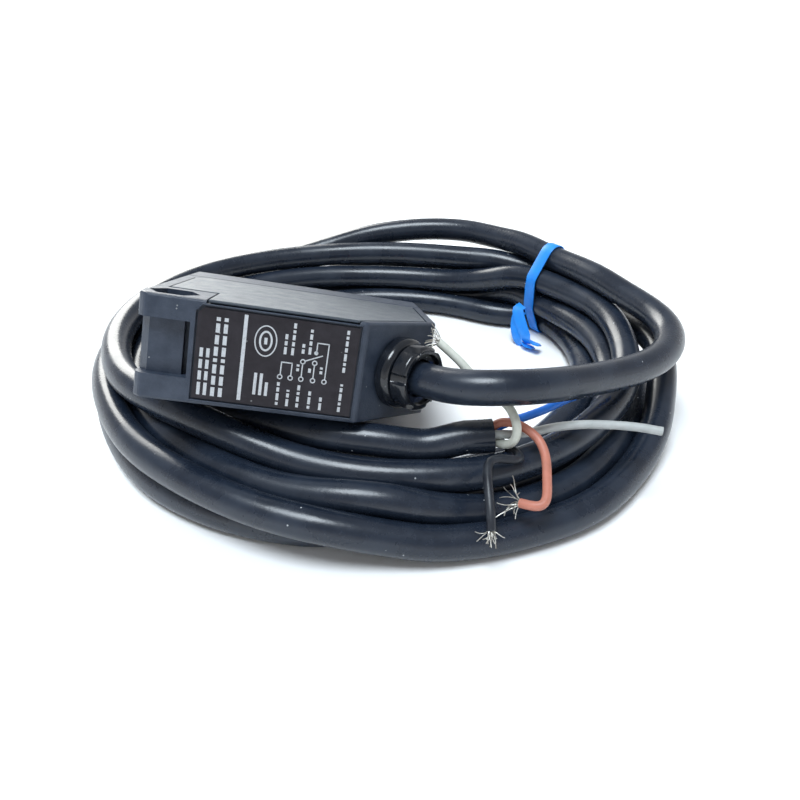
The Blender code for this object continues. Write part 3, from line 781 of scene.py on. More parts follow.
class Recipe:
    """A geometry node tree under construction, with named inputs."""

    def __init__(self, name: str) -> None:
        """Start a tree that takes and gives geometry."""
        self.tree = bpy.data.node_groups.new(name, "GeometryNodeTree")
        self.tree.interface.new_socket("Geometry", in_out="INPUT",
                                       socket_type="NodeSocketGeometry")
        self.tree.interface.new_socket("Geometry", in_out="OUTPUT",
                                       socket_type="NodeSocketGeometry")
        self.inlet = self.tree.nodes.new("NodeGroupInput")
        self.values: dict[str, float] = {}

    def size(self, name: str, value: float) -> bpy.types.NodeSocket:
        """Add a named input in metres and return its socket."""
        entry = self.tree.interface.new_socket(name, in_out="INPUT",
                                               socket_type="NodeSocketFloat")
        self.values[entry.identifier] = value
        return self.inlet.outputs[name]

    def put(self, kind: str, settings: dict | None = None, sockets: dict | None = None,
            output: int | str = 0) -> bpy.types.NodeSocket:
        """Add a node, set its settings, then its inputs, and return an output."""
        node = self.tree.nodes.new(kind)
        for key, value in (settings or {}).items():
            setattr(node, key, value)
        for key, value in (sockets or {}).items():
            if isinstance(value, bpy.types.NodeSocket):
                self.tree.links.new(value, node.inputs[key])
            else:
                node.inputs[key].default_value = value
        return node.outputs[output]

    def bake(self, shape: bpy.types.NodeSocket, source: bpy.types.ID, finish: Finish
             ) -> bpy.types.Mesh:
        """End the tree, run it on a source's data, and return a plain mesh.

        Args:
            shape: The geometry to hand out.
            source: The mesh or curve that goes in.
            finish: The finish that it takes.

        Returns:
            The mesh.
        """
        real = self.put("GeometryNodeRealizeInstances", {}, {0: shape})
        dressed = self.put("GeometryNodeSetMaterial", {}, {"Geometry": real,
                                                           "Material": finish.material})
        outlet = self.tree.nodes.new("NodeGroupOutput")
        self.tree.links.new(dressed, outlet.inputs[0])
        holder = bpy.data.objects.new("holder", source)
        bpy.context.scene.collection.objects.link(holder)
        modifier = holder.modifiers.new("Recipe", "NODES")
        modifier.node_group = self.tree
        for identifier, value in self.values.items():
            modifier[identifier] = value
        bpy.context.view_layer.update()
        depsgraph = bpy.context.evaluated_depsgraph_get()
        mesh = bpy.data.meshes.new_from_object(holder.evaluated_get(depsgraph))
        bpy.data.objects.remove(holder, do_unlink=True)
        return mesh


# ---------------------------------------------------------------- stage

@dataclass
class Stage:
    """The camera, the lights and the floor."""

    eye: Point = (20.58, -124.66, 83.95)
    pitch: float = 32.0
    lens: float = 31.5
    floor_size: float = 24000.0
    ceiling_strength: float = 3.2
    ceiling_angle: float = 28.0
    ceiling_way: Point = (0.16, 0.22, -1.0)
    surround_strength: float = 0.40
    glow: tuple[float, float] = (0.10, 0.45)

    def build(self) -> None:
        """Set up everything that isn't the object."""
        self.camera()
        self.floor()
        self.ceiling()
        self.panel("back_panel", (-420.0, 820.0, 420.0), 560.0, 9.0, (1.0, 1.0, 0.96))
        self.surround()
        bpy.context.scene.view_settings.view_transform = "Standard"

    def camera(self) -> None:
        """Place the camera, looking along +Y and down."""
        data = bpy.data.cameras.new("camera")
        data.lens = self.lens
        data.sensor_width = 36.0
        data.clip_start = 0.01
        data.dof.use_dof = False
        item = bpy.data.objects.new("camera", data)
        item.location = Vector(self.eye) * MM
        item.rotation_euler = (math.radians(90.0 - self.pitch), 0.0, 0.0)
        bpy.context.scene.collection.objects.link(item)
        bpy.context.scene.camera = item

    def floor(self) -> None:
        """Lay the pale floor."""
        half = self.floor_size / 2.0
        corners = [(-half, -half, 0), (half, -half, 0), (half, half, 0), (-half, half, 0)]
        item = settle_piece("floor", mesh_of(corners, [(0, 1, 2, 3)], None, False), Finish.FLOOR,
                            None, None)

    def ceiling(self) -> None:
        """Hang the wide soft light overhead, a little to the front and left."""
        data = bpy.data.lights.new("ceiling_light", "SUN")
        data.energy = self.ceiling_strength
        data.angle = math.radians(self.ceiling_angle)
        data.color = (0.84, 0.93, 1.0)
        item = bpy.data.objects.new("ceiling_light", data)
        item.rotation_euler = Vector(self.ceiling_way).to_track_quat("-Z", "Y").to_euler()
        bpy.context.scene.collection.objects.link(item)

    def panel(self, name: str, place: Point, size: float, power: float, colour: Colour) -> None:
        """Hang a square soft light that faces the object.

        Args:
            name: The light's name.
            place: Its place, in millimetres.
            size: Its side, in millimetres.
            power: Its power in watts.
            colour: Its colour.
        """
        data = bpy.data.lights.new(name, "AREA")
        data.shape = "SQUARE"
        data.size = size * MM
        data.energy = power
        data.color = colour
        item = bpy.data.objects.new(name, data)
        item.location = Vector(place) * MM
        aim = Vector((15.0, 10.0, 10.0)) * MM - item.location
        item.rotation_euler = aim.to_track_quat("-Z", "Y").to_euler()
        bpy.context.scene.collection.objects.link(item)

    def surround(self) -> None:
        """Fill the surroundings with pale light, brightest near the horizon."""
        world = bpy.data.worlds.new("surround")
        world.use_nodes = True
        tree = world.node_tree
        way = tree.nodes.new("ShaderNodeTexCoord")
        split = tree.nodes.new("ShaderNodeSeparateXYZ")
        fade = tree.nodes.new("ShaderNodeMapRange")
        fade.interpolation_type = "SMOOTHSTEP"
        for key, value in (("From Min", self.glow[0]), ("From Max", self.glow[1]),
                           ("To Min", 1.0), ("To Max", self.surround_strength)):
            fade.inputs[key].default_value = value
        back = tree.nodes["Background"]
        back.inputs["Color"].default_value = (0.98, 0.99, 1.0, 1.0)
        tree.links.new(way.outputs["Generated"], split.inputs["Vector"])
        tree.links.new(split.outputs["Z"], fade.inputs["Value"])
        tree.links.new(fade.outputs["Result"], back.inputs["Strength"])
        bpy.context.scene.world = world


# ---------------------------------------------------------------- lead

@dataclass
class Lead:
    """The two-metre lead: out of the gland, round the coil and back to its cut end."""

    free_run: Sequence[Point] = (
        (30.6, -24.8, 24.1), (36.4, -26.2, 24.9), (42.4, -24.9, 24.2), (48.5, -21.4, 22.7),
        (58.1, -14.8, 20.3), (68.6, -6.9, 18.6), (75.4, 2.2, 18.2), (77.0, 11.4, 18.6),
        (73.8, 20.6, 19.2), (68.0, 31.2, 19.6), (61.8, 43.0, 19.9))
    turns: Sequence[Sequence[tuple[float, float, float]]] = (
        ((40, 3.0, 20.0), (65, 8.6, 20.2), (78, 8.0, 19.4), (92, 6.4, 17.6), (108, 6.6, 12.8),
         (124, 5.5, 10.0), (140, 3.5, 8.8), (160, 1.0, 8.8), (200, -0.8, 8.8), (240, 1.0, 8.7),
         (250, 2.3, 8.5), (262, 2.6, 7.8), (282, 1.2, 3.8), (295, 1.2, 3.0), (310, 2.0, 3.0),
         (330, 0.8, 3.0), (342, 1.8, 6.5), (352, 3.5, 10.0), (362, 5.4, 12.4), (372, 5.2, 11.2),
         (382, 5.8, 11.5), (390, 5.4, 13.4)),
        ((38, 5.0, 14.5), (50, 2.5, 15.2), (65, 0.8, 15.0), (110, 0.0, 14.0), (140, 0.0, 14.2),
         (200, -4.0, 14.4), (225, -7.2, 12.4), (255, -9.0, 9.8), (290, -9.2, 8.6),
         (330, -8.0, 9.4), (345, -5.2, 10.4), (370, -1.0, 13.8), (390, -0.9, 14.3)),
        ((38, -1.0, 14.5), (65, -2.2, 9.2), (80, -2.2, 8.6), (140, -4.2, 8.3), (180, -6.6, 8.8),
         (240, -5.2, 8.2), (265, -3.8, 8.4), (272, -3.6, 8.0), (290, -5.4, 4.0),
         (300, -5.0, 3.0), (310, -4.6, 3.0), (330, -5.2, 3.0), (358, 1.2, 3.0), (370, 3.2, 3.0),
         (382, 4.2, 4.0), (390, 4.8, 6.6)),
        ((38, 5.0, 8.5), (80, 4.3, 8.2), (95, 4.0, 6.8), (125, 1.2, 3.6), (140, 0.2, 3.0),
         (180, 0.4, 3.0), (200, -0.6, 3.0), (225, 0.6, 3.0), (240, 0.4, 3.0), (262, -1.4, 3.0),
         (272, -4.2, 3.0), (282, -8.0, 3.0), (295, -10.4, 3.0), (330, -11.2, 3.0),
         (345, -8.6, 3.4), (358, -5.2, 5.8), (370, -3.8, 8.4), (390, -1.4, 8.6)),
        ((38, -1.0, 8.5), (50, 1.0, 6.0), (65, 2.0, 3.4), (95, 0.4, 3.0), (140, -5.9, 3.0),
         (180, -5.7, 3.0), (200, -6.6, 3.0), (240, -6.2, 3.0), (265, -8.4, 3.0),
         (275, -12.0, 3.0), (285, -14.6, 3.0), (300, -16.2, 3.0), (330, -16.8, 3.0),
         (345, -14.4, 3.0), (358, -11.0, 3.0), (370, -6.0, 3.0), (390, 0.4, 3.0)),
        ((38, 2.0, 3.0), (50, -1.6, 3.0), (65, -4.0, 3.0), (95, -6.0, 3.0), (140, -11.9, 3.0),
         (180, -12.2, 4.2), (200, -13.4, 6.4), (228, -15.4, 10.6), (242, -16.0, 11.8),
         (268, -14.9, 12.9), (282, -14.6, 13.2)),
    )
    cut_end: Sequence[Point] = ((33.0, -23.9, 13.3), (36.9, -23.7, 13.5))
    centre: tuple[float, float] = (14.4, 13.0)
    oval: tuple[float, float] = (59.3, 51.0)
    turn: float = -19.0
    bearing_step: float = 10.0
    step: float = 2.5
    contact: float = 6.08
    rounds: int = 260
    length: float = 2.0
    line: np.ndarray = field(default_factory=lambda: np.zeros((0, 3)))

    def slot_point(self, bearing: float, out: float, up: float) -> tuple[float, float, float]:
        """Return the point at a bearing, out from the coil's oval by a distance and at a height."""
        way = math.radians(bearing)
        lean = way - math.radians(self.turn)
        reach = out + 1.0 / math.hypot(math.cos(lean) / self.oval[0], math.sin(lean) / self.oval[1])
        return (self.centre[0] + reach * math.cos(way), self.centre[1] + reach * math.sin(way), up)

    def route(self) -> list[tuple[float, float, float]]:
        """Return the lead's route before it settles: gland, free run, turns and cut end."""
        points = [tuple(seated(GLAND_CENTRE + GLAND_AXIS * reach)) for reach in (1.0, 8.0)]
        points += [tuple(p) for p in self.free_run]
        for stations in self.turns:
            bearings, outs, ups = zip(*stations)
            marks = np.arange(bearings[0], bearings[-1] + 0.1, self.bearing_step)
            for mark in sorted(set(marks) | set(bearings)):
                points.append(self.slot_point(mark, float(np.interp(mark, bearings, outs)),
                                              float(np.interp(mark, bearings, ups))))
        return points + [tuple(p) for p in self.cut_end]

    def clear_of_case(self, line: np.ndarray) -> np.ndarray:
        """Return the shift that takes points out of the sensor's case."""
        turn = np.array(SEAT.to_3x3())
        own = (line - np.array(SEAT_PLACE)) @ turn
        nearest = np.clip(own, 0.0, np.array(CASE_SIZE))
        away = own - nearest
        painted_gap_shade = np.linalg.norm(away, axis=1)
        inside = painted_gap_shade < 1e-9
        away[inside] = (0.0, 0.0, -1.0)
        painted_gap_shade[inside] = 1.0
        need = np.where(inside, own[:, 2] + CABLE_RADIUS, CABLE_RADIUS + 0.1 - painted_gap_shade)
        need = np.clip(need, 0.0, 1.5)
        need[:14] = 0.0
        return (away / painted_gap_shade[:, None] * need[:, None]) @ turn.T

    def settle(self, line: np.ndarray) -> np.ndarray:
        """Let the turns push each other aside, stay smooth and rest on the floor.

        Args:
            line: The route's points, evenly spaced.

        Returns:
            The settled points.
        """
        home = line.copy()
        held = line.copy()
        step = float(np.linalg.norm(line[1] - line[0]))
        for turn in range(self.rounds):
            if turn % 6 == 0:
                gaps = np.linalg.norm(line[:, None] - line[None], axis=2)
                one, two = np.nonzero(np.triu(gaps < self.contact + 2.0, k=6))
            span = line[one] - line[two]
            size = np.maximum(np.linalg.norm(span, axis=1), 1e-6)
            push = np.clip(self.contact - size, 0.0, None) * 0.5 / size
            shift = np.zeros_like(line)
            count = np.zeros(len(line))
            np.add.at(shift, one, span * push[:, None])
            np.add.at(shift, two, -span * push[:, None])
            np.add.at(count, one, push > 0)
            np.add.at(count, two, push > 0)
            shift /= np.sqrt(np.maximum(count, 1))[:, None]
            bend = np.zeros_like(line)
            bend[2:-2] = (4 * line[1:-3] + 4 * line[3:-1] - line[:-4] - line[4:]
                          - 6 * line[2:-2]) / 16.0
            line = line + 0.9 * shift + 0.9 * bend + 0.01 * (home - line)
            line += self.clear_of_case(line)
            for _ in range(3):
                edge = np.diff(line, axis=0)
                size = np.linalg.norm(edge, axis=1, keepdims=True)
                pull = edge * (1.0 - step / size) * 0.25
                line[:-1] += pull
                line[1:] -= pull
            line[:, 2] = np.maximum(line[:, 2], CABLE_RADIUS)
            line[:6] = held[:6]
            line[-3:] = held[-3:]
        return line

    def build(self) -> bpy.types.Object:
        """Returns:
            The piece.
        """
        self.line = self.settle(even_line(smooth_line(self.route(), 1.0), self.step))
        fine = smooth_line(self.line, 1.6)
        mesh = tube(fine, CABLE_RADIUS, 28, 2.05, 8.0, self.swell)
        piece = settle_piece("lead_cable", mesh, Finish.JACKET, smooth=50.0)
        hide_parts("cable_lead", "cable_coil", "cable_end")
        LOG.info("lead is %.1f mm long", line_length(fine))
        return piece

    def swell(self, run: float) -> float:
        """Return the slight unevenness of the jacket at a distance along it."""
        return 1.0 + 0.006 * math.sin(run / 11.0) * math.sin(run / 27.0 + 1.0)


@dataclass(frozen=True)
class CoreSpec:
    """One of the five cores: its finish, its route and how much of its end is bared."""

    name: str
    finish: Finish
    route: Sequence[Point]
    bared: float = 0.0


CORES = (
    CoreSpec("brown", Finish.BROWN, (
        (37.6, -22.9, 15.6), (39.2, -23.2, 16.0), (41.0, -24.2, 16.2), (42.9, -25.8, 15.8),
        (44.4, -27.6, 14.9), (45.0, -30.4, 13.6), (44.6, -34.4, 12.6), (44.0, -38.2, 11.4),
        (43.0, -39.4, 10.8), (41.4, -38.9, 10.5), (39.9, -37.9, 10.2)), 3.6),
    CoreSpec("gray", Finish.GRAY, (
        (37.6, -24.9, 14.6), (40.4, -23.9, 13.9), (43.8, -23.2, 13.9), (47.6, -22.8, 14.6),
        (52.4, -22.8, 15.2), (57.4, -23.2, 15.4), (62.0, -23.9, 15.4), (66.0, -24.9, 15.2))),
    CoreSpec("white", Finish.WHITE, (
        (37.6, -24.7, 12.7), (39.3, -26.3, 13.4), (40.4, -26.9, 15.4), (40.3, -26.0, 17.8),
        (39.2, -23.8, 19.5), (36.9, -20.9, 20.4), (33.8, -18.2, 22.0), (30.8, -15.8, 24.4),
        (27.6, -13.6, 26.6)), 3.0),
    CoreSpec("black", Finish.BLACK, (
        (37.6, -23.0, 12.2), (39.6, -24.4, 11.6), (41.2, -26.9, 11.6), (40.4, -29.4, 12.4),
        (37.8, -30.3, 13.3), (35.8, -30.8, 13.4), (35.0, -32.8, 13.0), (34.9, -36.0, 11.8),
        (35.0, -39.2, 9.8), (35.1, -41.4, 7.4)), 2.4),
    CoreSpec("blue", Finish.BLUE, (
        (37.6, -21.9, 13.9), (40.2, -20.7, 14.4), (43.6, -19.4, 14.8), (47.2, -17.4, 15.0),
        (50.6, -14.8, 15.0), (54.0, -12.0, 14.6), (57.8, -9.6, 14.4), (61.8, -7.8, 14.6))),
)


@dataclass
class Cores:
    """The five cores that come out of the cut jacket, three of them with bared strands."""

    lead: Lead
    tail: float = 7.5
    off_centre: float = 1.14
    strand_radius: float = 0.085
    strand_count: int = 15

    def build(self) -> None:
        """Make every core and its strands."""
        for index, spec in enumerate(CORES):
            line = self.line(spec)
            piece = settle_piece("core_wire_" + spec.name, tube(line, CORE_RADIUS, 18),
                                 spec.finish, smooth=50.0)
            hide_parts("core_" + spec.name)
            if spec.bared:
                tuft = self.tuft(spec, line, index)
                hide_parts("strands_" + spec.name)
            LOG.info("core %s is %.1f mm long", spec.name, line_length(line))

    def line(self, spec: CoreSpec) -> np.ndarray:
        """Return a core's centre line, from inside the jacket to its cut end."""
        tip = np.array(self.lead.cut_end[-1])
        along = np.array(self.lead.cut_end[-1]) - np.array(self.lead.cut_end[-2])
        along /= np.linalg.norm(along)
        side = np.array(spec.route[0]) - tip
        side -= along * side.dot(along)
        side *= self.off_centre / np.linalg.norm(side)
        root = [tuple(tip - along * back + side) for back in (self.tail, self.tail / 2.0, 0.6)]
        return soften(smooth_line(root + [tuple(p) for p in spec.route], 0.4), 5)

    def tuft(self, spec: CoreSpec, line: np.ndarray, seed: int) -> bpy.types.Object:
        """Make the frayed strands at the end of a core.

        Args:
            spec: The core.
            line: Its centre line.
            seed: What the strands' bends are drawn from.

        Returns:
            The piece.
        """
        draw = np.random.default_rng(40 + seed)
        tip = Vector(line[-1])
        ahead = Vector(line[-1] - line[-3]).normalized()
        side = ahead.orthogonal().normalized()
        other = ahead.cross(side)
        data = bpy.data.curves.new("strands", "CURVE")
        data.dimensions = "3D"
        for _ in range(self.strand_count):
            angle = draw.uniform(0.0, 2.0 * math.pi)
            start = tip + (side * math.cos(angle) + other * math.sin(angle)) * draw.uniform(0.1, 0.5)
            start -= ahead * 0.5
            way = (ahead + (side * math.cos(angle) + other * math.sin(angle))
                   * draw.uniform(0.1, 0.55)).normalized()
            curl = Vector(draw.normal(0.0, 1.0, 3)).normalized()
            reach = spec.bared * draw.uniform(0.8, 1.45)
            spot = start
            points = [spot.copy()]
            bend = draw.uniform(0.05, 0.30)
            for _ in range(12):
                way = (way + curl * bend + Vector((0.0, 0.0, -0.05))).normalized()
                curl = (curl + Vector(draw.normal(0.0, 0.35, 3))).normalized()
                spot = spot + way * reach / 12
                spot.z = max(spot.z, 0.3)
                points.append(spot.copy())
            spline = data.splines.new("POLY")
            spline.points.add(len(points) - 1)
            for point, place in zip(spline.points, points):
                point.co = (*(place * MM), 1.0)
        recipe = Recipe("strands")
        thick = recipe.size("Strand Radius", self.strand_radius * MM)
        ring = recipe.put("GeometryNodeCurvePrimitiveCircle", {"mode": "RADIUS"},
                          {"Resolution": 6, "Radius": thick}, "Curve")
        body = recipe.put("GeometryNodeCurveToMesh", {}, {"Curve": recipe.inlet.outputs[0],
                                                          "Profile Curve": ring,
                                                          "Fill Caps": True})
        mesh = recipe.bake(body, data, Finish.TINNED)
        return settle_piece("bared_strands_" + spec.name, mesh, Finish.TINNED,
                            smooth=60.0)


@dataclass
class TieBand:
    """The ribbon tie: a loop round the bundle with a wire ridge down its middle."""

    lead: Lead
    place: tuple[float, float] = (57.2, 44.6)
    along: Point = (-0.60, 0.80, 0.0)
    band: float = 3.1
    thick: float = 0.34

    def build(self) -> None:
        """Make the loop and its two tails."""
        along = Vector(self.along).normalized()
        across = along.cross(Vector((0.0, 0.0, 1.0)))
        centre = Vector((*self.place, 0.0))
        loop = self.loop(along, across, centre)
        path = [centre + across * u + Vector((0.0, 0.0, v)) for u, v in loop]
        shapes = [self.ribbon(path, along, True)]
        for swing in (0.0, 1.0):
            shapes.append(self.ribbon(*self.tail(centre, along, across, swing), False))
        joined = bmesh.new()
        for mesh in shapes:
            joined.from_mesh(mesh)
        mesh = bpy.data.meshes.new("tie")
        joined.to_mesh(mesh)
        joined.free()
        piece = settle_piece("tie_band", mesh, Finish.TIE, smooth=40.0)
        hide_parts("twist_tie")

    def loop(self, along: Vector, across: Vector, centre: Vector) -> list[tuple[float, float]]:
        """Return the tight outline round the turns that pass the tie, across and up."""
        flat = []
        line = self.lead.line
        for here, there in zip(line[:-1], line[1:]):
            first = (Vector(here) - centre).dot(along)
            second = (Vector(there) - centre).dot(along)
            if first * second < 0.0:
                spot = Vector(here).lerp(Vector(there), first / (first - second)) - centre
                if abs(spot.dot(across)) < 14.0:
                    flat.append((spot.dot(across), spot.z))
        LOG.info("the tie holds %d turns", len(flat))
        grown = CABLE_RADIUS + self.thick / 2.0 + 0.12
        rim = [(u + grown * math.cos(a), max(v + grown * math.sin(a), self.thick * 0.6))
               for u, v in flat for a in np.linspace(0.0, 2.0 * math.pi, 40, endpoint=False)]
        return hull(rim)

    def tail(self, centre: Vector, along: Vector, across: Vector, swing: float
             ) -> tuple[list[Vector], Vector]:
        """Return the path and the flat direction of a tail, on the coil's inner side."""
        start = centre - across * 6.4 + Vector((0.0, 0.0, 7.6 + swing * 1.6))
        way = (-across).normalized()
        ends = [start, start + way * 1.6 + Vector((0, 0, -0.8)),
                start + way * 3.0 - along * (1.2 + 2.0 * swing) + Vector((0, 0, -3.6)),
                start + way * 3.6 - along * (3.6 + 2.6 * swing) + Vector((0, 0, -6.2)),
                start + way * 2.6 - along * (7.4 + 2.0 * swing) + Vector((0, 0, -6.9))]
        path = [Vector(p) for p in smooth_line([tuple(p) for p in ends], 0.7)]
        return path, along

    def ribbon(self, path: Sequence[Vector], wide: Vector, closed: bool) -> bpy.types.Mesh:
        """Sweep the ribbon's section along a path.

        Args:
            path: The centre line.
            wide: The direction of the ribbon's width.
            closed: Whether the path closes.

        Returns:
            The mesh.
        """
        half = self.band / 2.0
        thin = self.thick / 2.0
        section = [(-half, -thin * 0.7), (-half + 0.12, -thin), (0.0, -thin), (half - 0.12, -thin),
                   (half, -thin * 0.7), (half, thin * 0.7), (half - 0.12, thin), (0.42, thin),
                   (0.28, thin + 0.22), (0.0, thin + 0.32), (-0.28, thin + 0.22), (-0.42, thin),
                   (-half + 0.12, thin), (-half, thin * 0.7)]
        verts = []
        count = len(path)
        for index, spot in enumerate(path):
            if closed:
                run = path[(index + 1) % count] - path[index - 1]
            else:
                run = path[min(index + 1, count - 1)] - path[max(index - 1, 0)]
            run.normalize()
            flat = (wide - run * wide.dot(run)).normalized()
            out = run.cross(flat)
            verts += [spot + flat * u + out * v for u, v in section]
        size = len(section)
        faces = grid_faces(count, size, closed)
        if not closed:
            faces.append(tuple(reversed(range(size))))
            faces.append(tuple(range((count - 1) * size, count * size)))
        return mesh_of(verts, faces)


def hull(points: Sequence[tuple[float, float]]) -> list[tuple[float, float]]:
    """Return the convex outline of flat points, evenly stepped."""
    ordered = sorted(set(points))

    def chain(items: Sequence[tuple[float, float]]) -> list[tuple[float, float]]:
        """Return one side of the outline."""
        kept: list[tuple[float, float]] = []
        for item in items:
            while len(kept) > 1 and ((kept[-1][0] - kept[-2][0]) * (item[1] - kept[-2][1])
                                     <= (kept[-1][1] - kept[-2][1]) * (item[0] - kept[-2][0])):
                kept.pop()
            kept.append(item)
        return kept[:-1]

    outline = chain(ordered) + chain(ordered[::-1])
    closed = np.array([(u, v, 0.0) for u, v in outline + outline[:1]])
    even = even_line(closed, 0.7)[:-1]
    return [(float(u), float(v)) for u, v, _ in even]


# ---------------------------------------------------------------- sensor

@dataclass
class Gland:
    """The gland: a smooth sleeve on the cut corner and a notched collar round the lead."""

    sleeve_radius: float = 6.3
    collar_radius: float = 5.7
    bore: float = 3.3
    notches: int = 6
    notch_depth: float = 0.75
    notch_half: float = math.radians(9.0)

    def build(self) -> None:
        """Make the sleeve and the collar."""
        sleeve = [(4.6, 0.3), (self.sleeve_radius - 0.15, 0.3), (self.sleeve_radius, 0.5)]
        sleeve += [(self.sleeve_radius - 1.2 + 1.2 * math.cos(a), 1.7 + 1.2 * math.sin(a))
                   for a in np.linspace(0.0, math.pi / 2.0, 9)]
        sleeve += [(4.6, 2.9)]
        piece = settle_piece("gland_sleeve", lathe(sleeve, GLAND_CENTRE, GLAND_AXIS),
                             Finish.GLAND)
        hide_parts("gland_boss")
        top = 6.2
        big = self.collar_radius
        collar = [(self.bore, -2.6), (4.2, -2.6), (4.2, 3.2), (big - 0.2, 3.2), (big, 3.4),
                  (big, 4.6), (big, top - 0.7)]
        collar += [(big - 0.7 + 0.7 * math.cos(a), top - 0.7 + 0.7 * math.sin(a))
                   for a in np.linspace(0.3, math.pi / 2.0, 6)]
        collar += [(4.6, top), (4.45, top - 0.12), (4.3, top - 0.8), (self.bore + 0.1, top - 0.9),
                   (self.bore, top - 1.0)]
        mesh = lathe(collar, GLAND_CENTRE, GLAND_AXIS, 192, self.notch)
        piece = settle_piece("gland_collar", mesh, Finish.GLAND)
        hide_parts("gland_ring")

    def notch(self, angle: float, radius: float, height: float) -> float:
        """Return the collar's radius at an angle, less in a notch."""
        if radius < 4.9 or height < 4.0:
            return radius
        pitch = 2.0 * math.pi / self.notches
        off = abs((angle + pitch / 2.0) % pitch - pitch / 2.0)
        part = min(1.0, max(0.0, (self.notch_half - off) / math.radians(2.5)))
        return max(4.85, radius - self.notch_depth * part)


@dataclass
class Label:
    """The data label's print: a bar, plain marks and the wiring diagram."""

    face: float = -0.012
    back: float = 0.03
    line: float = 0.19
    terminals: Sequence[tuple[float, float]] = (
        (23.57, 6.45), (25.3, 6.45), (27.05, 6.48), (29.0, 6.48), (30.9, 6.5), (27.05, 9.45),
        (29.0, 9.45))
    terminal_radius: float = 0.36

    def build(self) -> None:
        """Make the print as one thin piece, and the terminals' rings as another."""
        verts: list[Point] = []
        faces: list[tuple[int, ...]] = []

        def add(outline: Sequence[tuple[float, float]]) -> None:
            """Add a flat print shape with a thin edge."""
            start = len(verts)
            count = len(outline)
            verts.extend((x, self.face, z) for x, z in outline)
            verts.extend((x, self.back, z) for x, z in outline)
            faces.append(tuple(range(start, start + count)))
            faces.append(tuple(range(start + 2 * count - 1, start + count - 1, -1)))
            faces.extend((start + i, start + (i + 1) % count, start + count + (i + 1) % count,
                          start + count + i) for i in range(count))

        def bar(low: tuple[float, float], high: tuple[float, float]) -> None:
            """Add a rectangle."""
            add([low, (high[0], low[1]), high, (low[0], high[1])])

        def stroke(points: Sequence[tuple[float, float]]) -> None:
            """Add a line of the diagram, one rectangle for each run."""
            for here, there in zip(points[:-1], points[1:]):
                run = (Vector(there) - Vector(here)).normalized() * self.line / 2.0
                side = Vector((-run.y, run.x))
                first = Vector(here) - run
                second = Vector(there) + run
                add([tuple(first + side), tuple(first - side), tuple(second - side),
                     tuple(second + side)])

        def ring(centre: tuple[float, float], reach: tuple[float, float], width: float) -> None:
            """Add an oval ring in short pieces."""
            steps = 40
            for step in range(steps):
                quad = []
                for grow, angle in ((0.0, step), (0.0, step + 1), (-width, step + 1),
                                    (-width, step)):
                    way = 2.0 * math.pi * angle / steps
                    quad.append((centre[0] + (reach[0] + grow) * math.cos(way),
                                 centre[1] + (reach[1] + grow) * math.sin(way)))
                add(quad)

        bar((16.95, 1.65), (17.55, 15.9))
        self.heading(bar, 10.35, 1.75, 1.6, (2.1, 1.5, 1.5, 1.5), 0.42)
        self.heading(bar, 12.6, 1.75, 1.9, (1.5, 1.5, 1.5, 0.6, 1.5, 1.5, 1.5, 0.6), 0.42)
        ring((20.7, 12.05), (1.85, 2.6), 0.2)
        ring((20.7, 12.05), (1.1, 1.7), 0.32)
        bar((20.45, 11.5), (20.95, 12.6))
        for x, high in ((19.4, 6.6), (20.35, 6.6), (21.3, 5.2)):
            bar((x, 2.9), (x + 0.5, high))
        stroke([(23.6, 6.85), (23.6, 8.95), (25.35, 8.95), (25.35, 6.85)])
        stroke([(27.05, 6.9), (27.05, 9.05)])
        stroke([(29.0, 6.9), (29.0, 9.05)])
        stroke([(27.42, 9.62), (30.1, 10.8)])
        stroke([(29.1, 11.2), (29.1, 12.85), (31.0, 12.85), (30.95, 6.95)])
        add([(29.05 + 0.34 * math.cos(a), 11.15 + 0.34 * math.sin(a))
             for a in np.linspace(0.0, 2.0 * math.pi, 14, endpoint=False)])
        for x, low, high in ((23.1, 1.6, 5.5), (24.8, 1.6, 4.4), (26.5, 1.6, 5.4), (28.4, 1.6, 4.8),
                             (30.3, 1.6, 4.3), (23.6, 10.3, 14.0), (24.8, 10.3, 15.6),
                             (26.5, 10.8, 12.4), (27.6, 10.8, 15.4), (25.95, 7.75, 8.9),
                             (27.9, 7.75, 8.9), (29.8, 7.75, 8.9), (33.5, 8.5, 15.6),
                             (33.5, 1.7, 6.5)):
            self.small_words(bar, x, low, high)
        mesh = mesh_of(verts, faces, seated)
        settle_piece("label_print", mesh, Finish.INK, smooth=None)
        self.rings()

    def heading(self, bar: Callable, x: float, z: float, tall: float, blocks: Sequence[float],
                painted_gap_shade: float) -> None:
        """Print a heading as a row of plain blocks with a slit in each.

        Args:
            bar: What adds a rectangle.
            x: The heading's top.
            z: Where it starts.
            tall: The blocks' height.
            blocks: The blocks' lengths.
            painted_gap_shade: The space between two blocks.
        """
        for long in blocks:
            bar((x, z), (x + tall * 0.34, z + long))
            bar((x + tall * 0.66, z), (x + tall, z + long))
            z += long + painted_gap_shade

    def small_words(self, bar: Callable, x: float, low: float, high: float) -> None:
        """Print a line of short dashes of mixed length that stand for wording."""
        z = low
        index = int(x * 3)
        while z < high - 0.3:
            long = min((0.85, 0.5, 1.2, 0.7)[index % 4], high - z)
            bar((x + 0.16, z), (x + 0.62, z + long))
            z += long + 0.3
            index += 1

